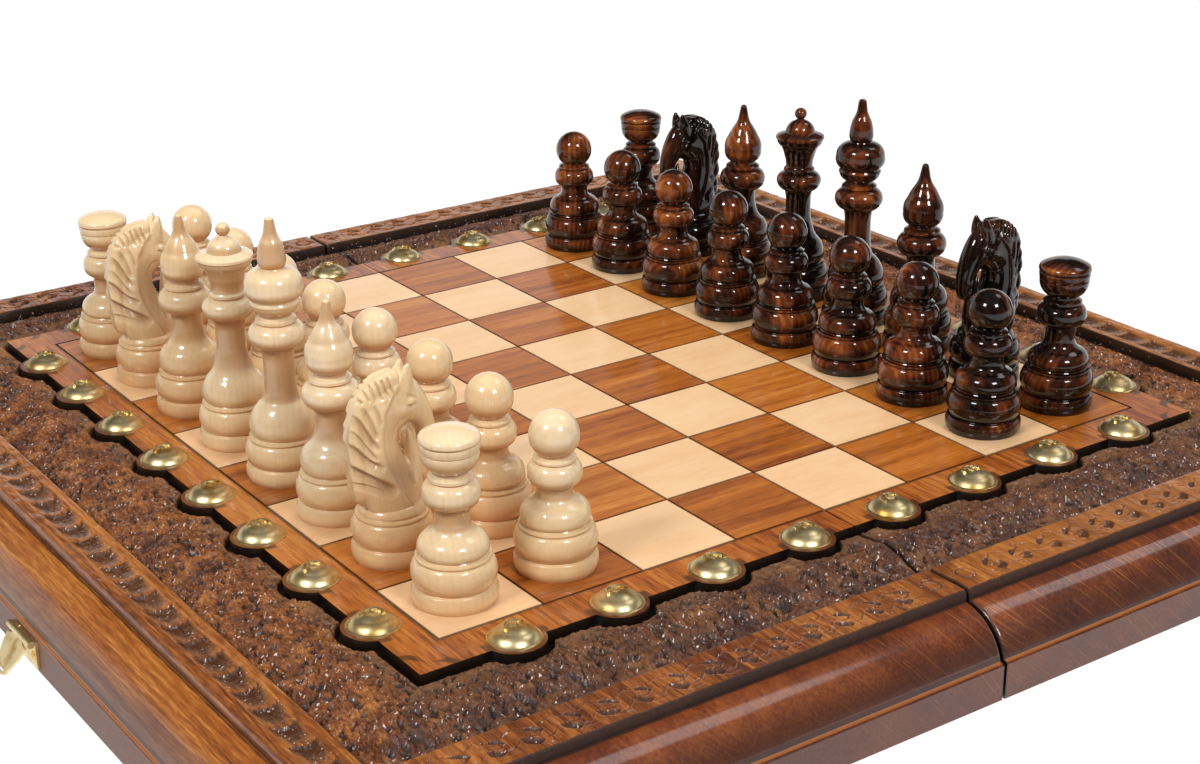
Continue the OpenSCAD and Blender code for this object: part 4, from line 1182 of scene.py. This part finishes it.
# %% Running leaves of the two long sides
LEAF_PITCH = 13.2
SPINDLES = [([(1.8, -3.4), (-1.0, -2.4), (-3.6, 0.1)], 1.25, 1.2),
            ([(4.2, 0.2), (3.1, 2.4), (1.1, 3.9), (-1.4, 3.4)], 1.7, 1.4)]
LINES = [([(4.6, -6.4), (3.4, -4.4), (1.4, -3.2)], 0.6, 0.5),
         ([(-3.2, -0.5), (-1.0, 1.2), (4.2, 0.2)], 0.6, 0.5),
         ([(-0.8, 3.8), (-4.6, 3.9), (-8.9, 0.4)], 0.5, 0.45),
         ([(-3.0, -2.4), (-6.2, -4.6), (-9.4, -6.2)], 0.5, 0.4),
         ([(3.0, 5.2), (-1.5, 6.4), (-6.0, 5.6)], 0.4, 0.3)]


def leaves(along, across, x, y):
    """Depth of the running leaves in millimetres."""
    slip = 0.9 * drift(x / 9, y / 9, 14), 0.5 * drift(x / 5, y / 5, 15)
    a = (along / MM + slip[0]) % LEAF_PITCH - LEAF_PITCH / 2
    cut = np.zeros_like(along)
    for shift in (-LEAF_PITCH, 0, LEAF_PITCH):
        points = np.stack((a + shift, across / MM + slip[1]), axis=1)
        for path, width, depth in SPINDLES + LINES:
            signed, share = along_path(points, path)
            swell = np.sqrt(np.maximum(0, 4 * share * (1 - share)))
            flank = np.maximum(0, 1 - (signed / (width * swell + 0.05)) ** 2)
            cut = np.maximum(cut, depth * swell * flank)
    return cut * (1 + 0.25 * drift(x / 0.6, y / 0.6, 16))


# %% Carved band
RING_AT, RING_RADIUS = 7.8 * MM, 3.4 * MM


def chip_carved(place, along, out, inside, x, y):
    """Height of the band and how deep it was cut there."""
    x, y = x / MM, y / MM
    across = out - (BAND_IN + BAND_OUT) / 2
    edge = rounding(inside, 0.7 * MM) + rounding(BAND_OUT - out, 0.9 * MM)
    if place == "end":
        cut = scales(along, out - SCALE_MIDDLE, x, y)
        cut *= ease(FIELD_HALF + SCALE_MIDDLE - abs(along), 6 * MM, 7.5 * MM)
    else:
        ring = abs(np.hypot(along - RING_AT, across) - RING_RADIUS)
        cut = np.where(along > 2 * RING_AT, leaves(along, across, x, y),
                       0.6 * np.maximum(0, 1 - ring / (0.7 * MM)))
        cut *= ease(FIELD_HALF + BAND_IN - along, -6 * MM, 1 * MM)
        edge += rounding(along - fold_x, 1.0 * MM)
    wear = 0.1 * drift(x / 3.5, y / 3.5, 17) + 0.04 * drift(x / 0.7, y / 2.5, 18)
    full_depth = 1.8 if place == "end" else 1.1
    return band_top + (wear - cut - 0.1) * MM - edge, np.clip(cut / full_depth, 0, 1)


carve_round("band", band_wood, BAND_IN, BAND_OUT, lambda place, along: BAND_IN, chip_carved)

# %% [markdown]
# ## Studs and the parts carried over
# Each stud is a stamped dome on a thin flange, spun like the pieces. Two raised beads curl on its
# top, an open arc and a small hook, and each stud was nailed on at a slightly different turn. The
# squares, rails, hinges and latches already have their real shape in the frame, so they stay and
# get their finish.

# %% Domed studs
FLANGE = STUD_RADIUS / MM
STUD = outline([[0, 0], [FLANGE, 0], [FLANGE, 0.36], [8.2, 0.6, 0.1], [5.08, 3.17, 0.1],
                [0, 4.4, 0.09]], 0.5)
BEAD = 0.6 * MM
# Each curl: how far its centre lies off the stud's, its height and its radius in millimetres, and
# where it starts and how far it sweeps in radians
CURLS = ((0, 4.15, 3.7, -0.1, 3.1), (0.8, 4.6, 1.6, -0.6, 4.8))
LARGEST_TURN = 0.35


def raised_arc(bm, centre, radius, start, sweep):
    """A thin round bead on the dome's top, bent through part of a circle."""
    place = (Matrix.Translation(centre) @ Matrix.Rotation(start, 4, "Z")
             @ Matrix.Translation((radius, 0, 0)) @ Matrix.Rotation(math.pi / 2, 4, "X"))
    bead = bmesh.ops.create_circle(bm, cap_ends=True, segments=8, radius=BEAD, matrix=place)["verts"]
    rim = {part for vert in bead for part in (*vert.link_edges, *vert.link_faces)}
    bmesh.ops.spin(bm, geom=[*bead, *rim], cent=centre, axis=(0, 0, 1), angle=sweep,
                   steps=max(4, round(sweep * 4)))


for name, side in SIDES:
    bm = bmesh.new()
    places = [(FIELD_HALF + STUD_OUT["end"], (j + 0.5) * SQUARE - FIELD_HALF) for j in range(8)]
    places += [((i + 0.5) * SQUARE, way * (FIELD_HALF + STUD_OUT["near"]))
               for i in range(4) for way in (-1, 1)]
    for k, (x, y) in enumerate(places):
        stud = spin(STUD, 40)
        turn = LARGEST_TURN * math.sin(k * 2.4 + side)
        for middle, height, radius, start, sweep in CURLS:
            centre = Matrix.Rotation(turn, 3, "Z") @ Vector((middle * MM, middle * MM, height * MM))
            raised_arc(stud, centre, radius * MM, turn + start, sweep)
        bmesh.ops.recalc_face_normals(stud, faces=stud.faces)
        bmesh.ops.translate(stud, vec=(side * x, y, field_top), verts=stud.verts)
        bm.from_mesh(plain_mesh(stud, "stud"))
    show(f"{name}_domed_studs", smooth_mesh(bm, f"{name}_domed_studs", 40), brass, f"{name}_half",
         "brass", f"{name}_studs")
print("studs: 16 in each half")

# %% Nodes that stay, with their finish
KEPT = {"field_plate": border_wood, "light_squares": pale_veneer, "dark_squares": brown_veneer,
        "side_rails": board_wood, "end_rail": board_wood, "spine_rail": board_wood, "felt_pads": felt}
dressed = {node: KEPT.get(node.partition("_")[2], brass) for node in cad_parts
           if node.partition("_")[2] in KEPT or node.startswith(("hinge", "latch"))}
for node, finish in dressed.items():
    for material_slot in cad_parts[node].material_slots:
        material_slot.material = finish
print("kept nodes with a new finish:", len(dressed))
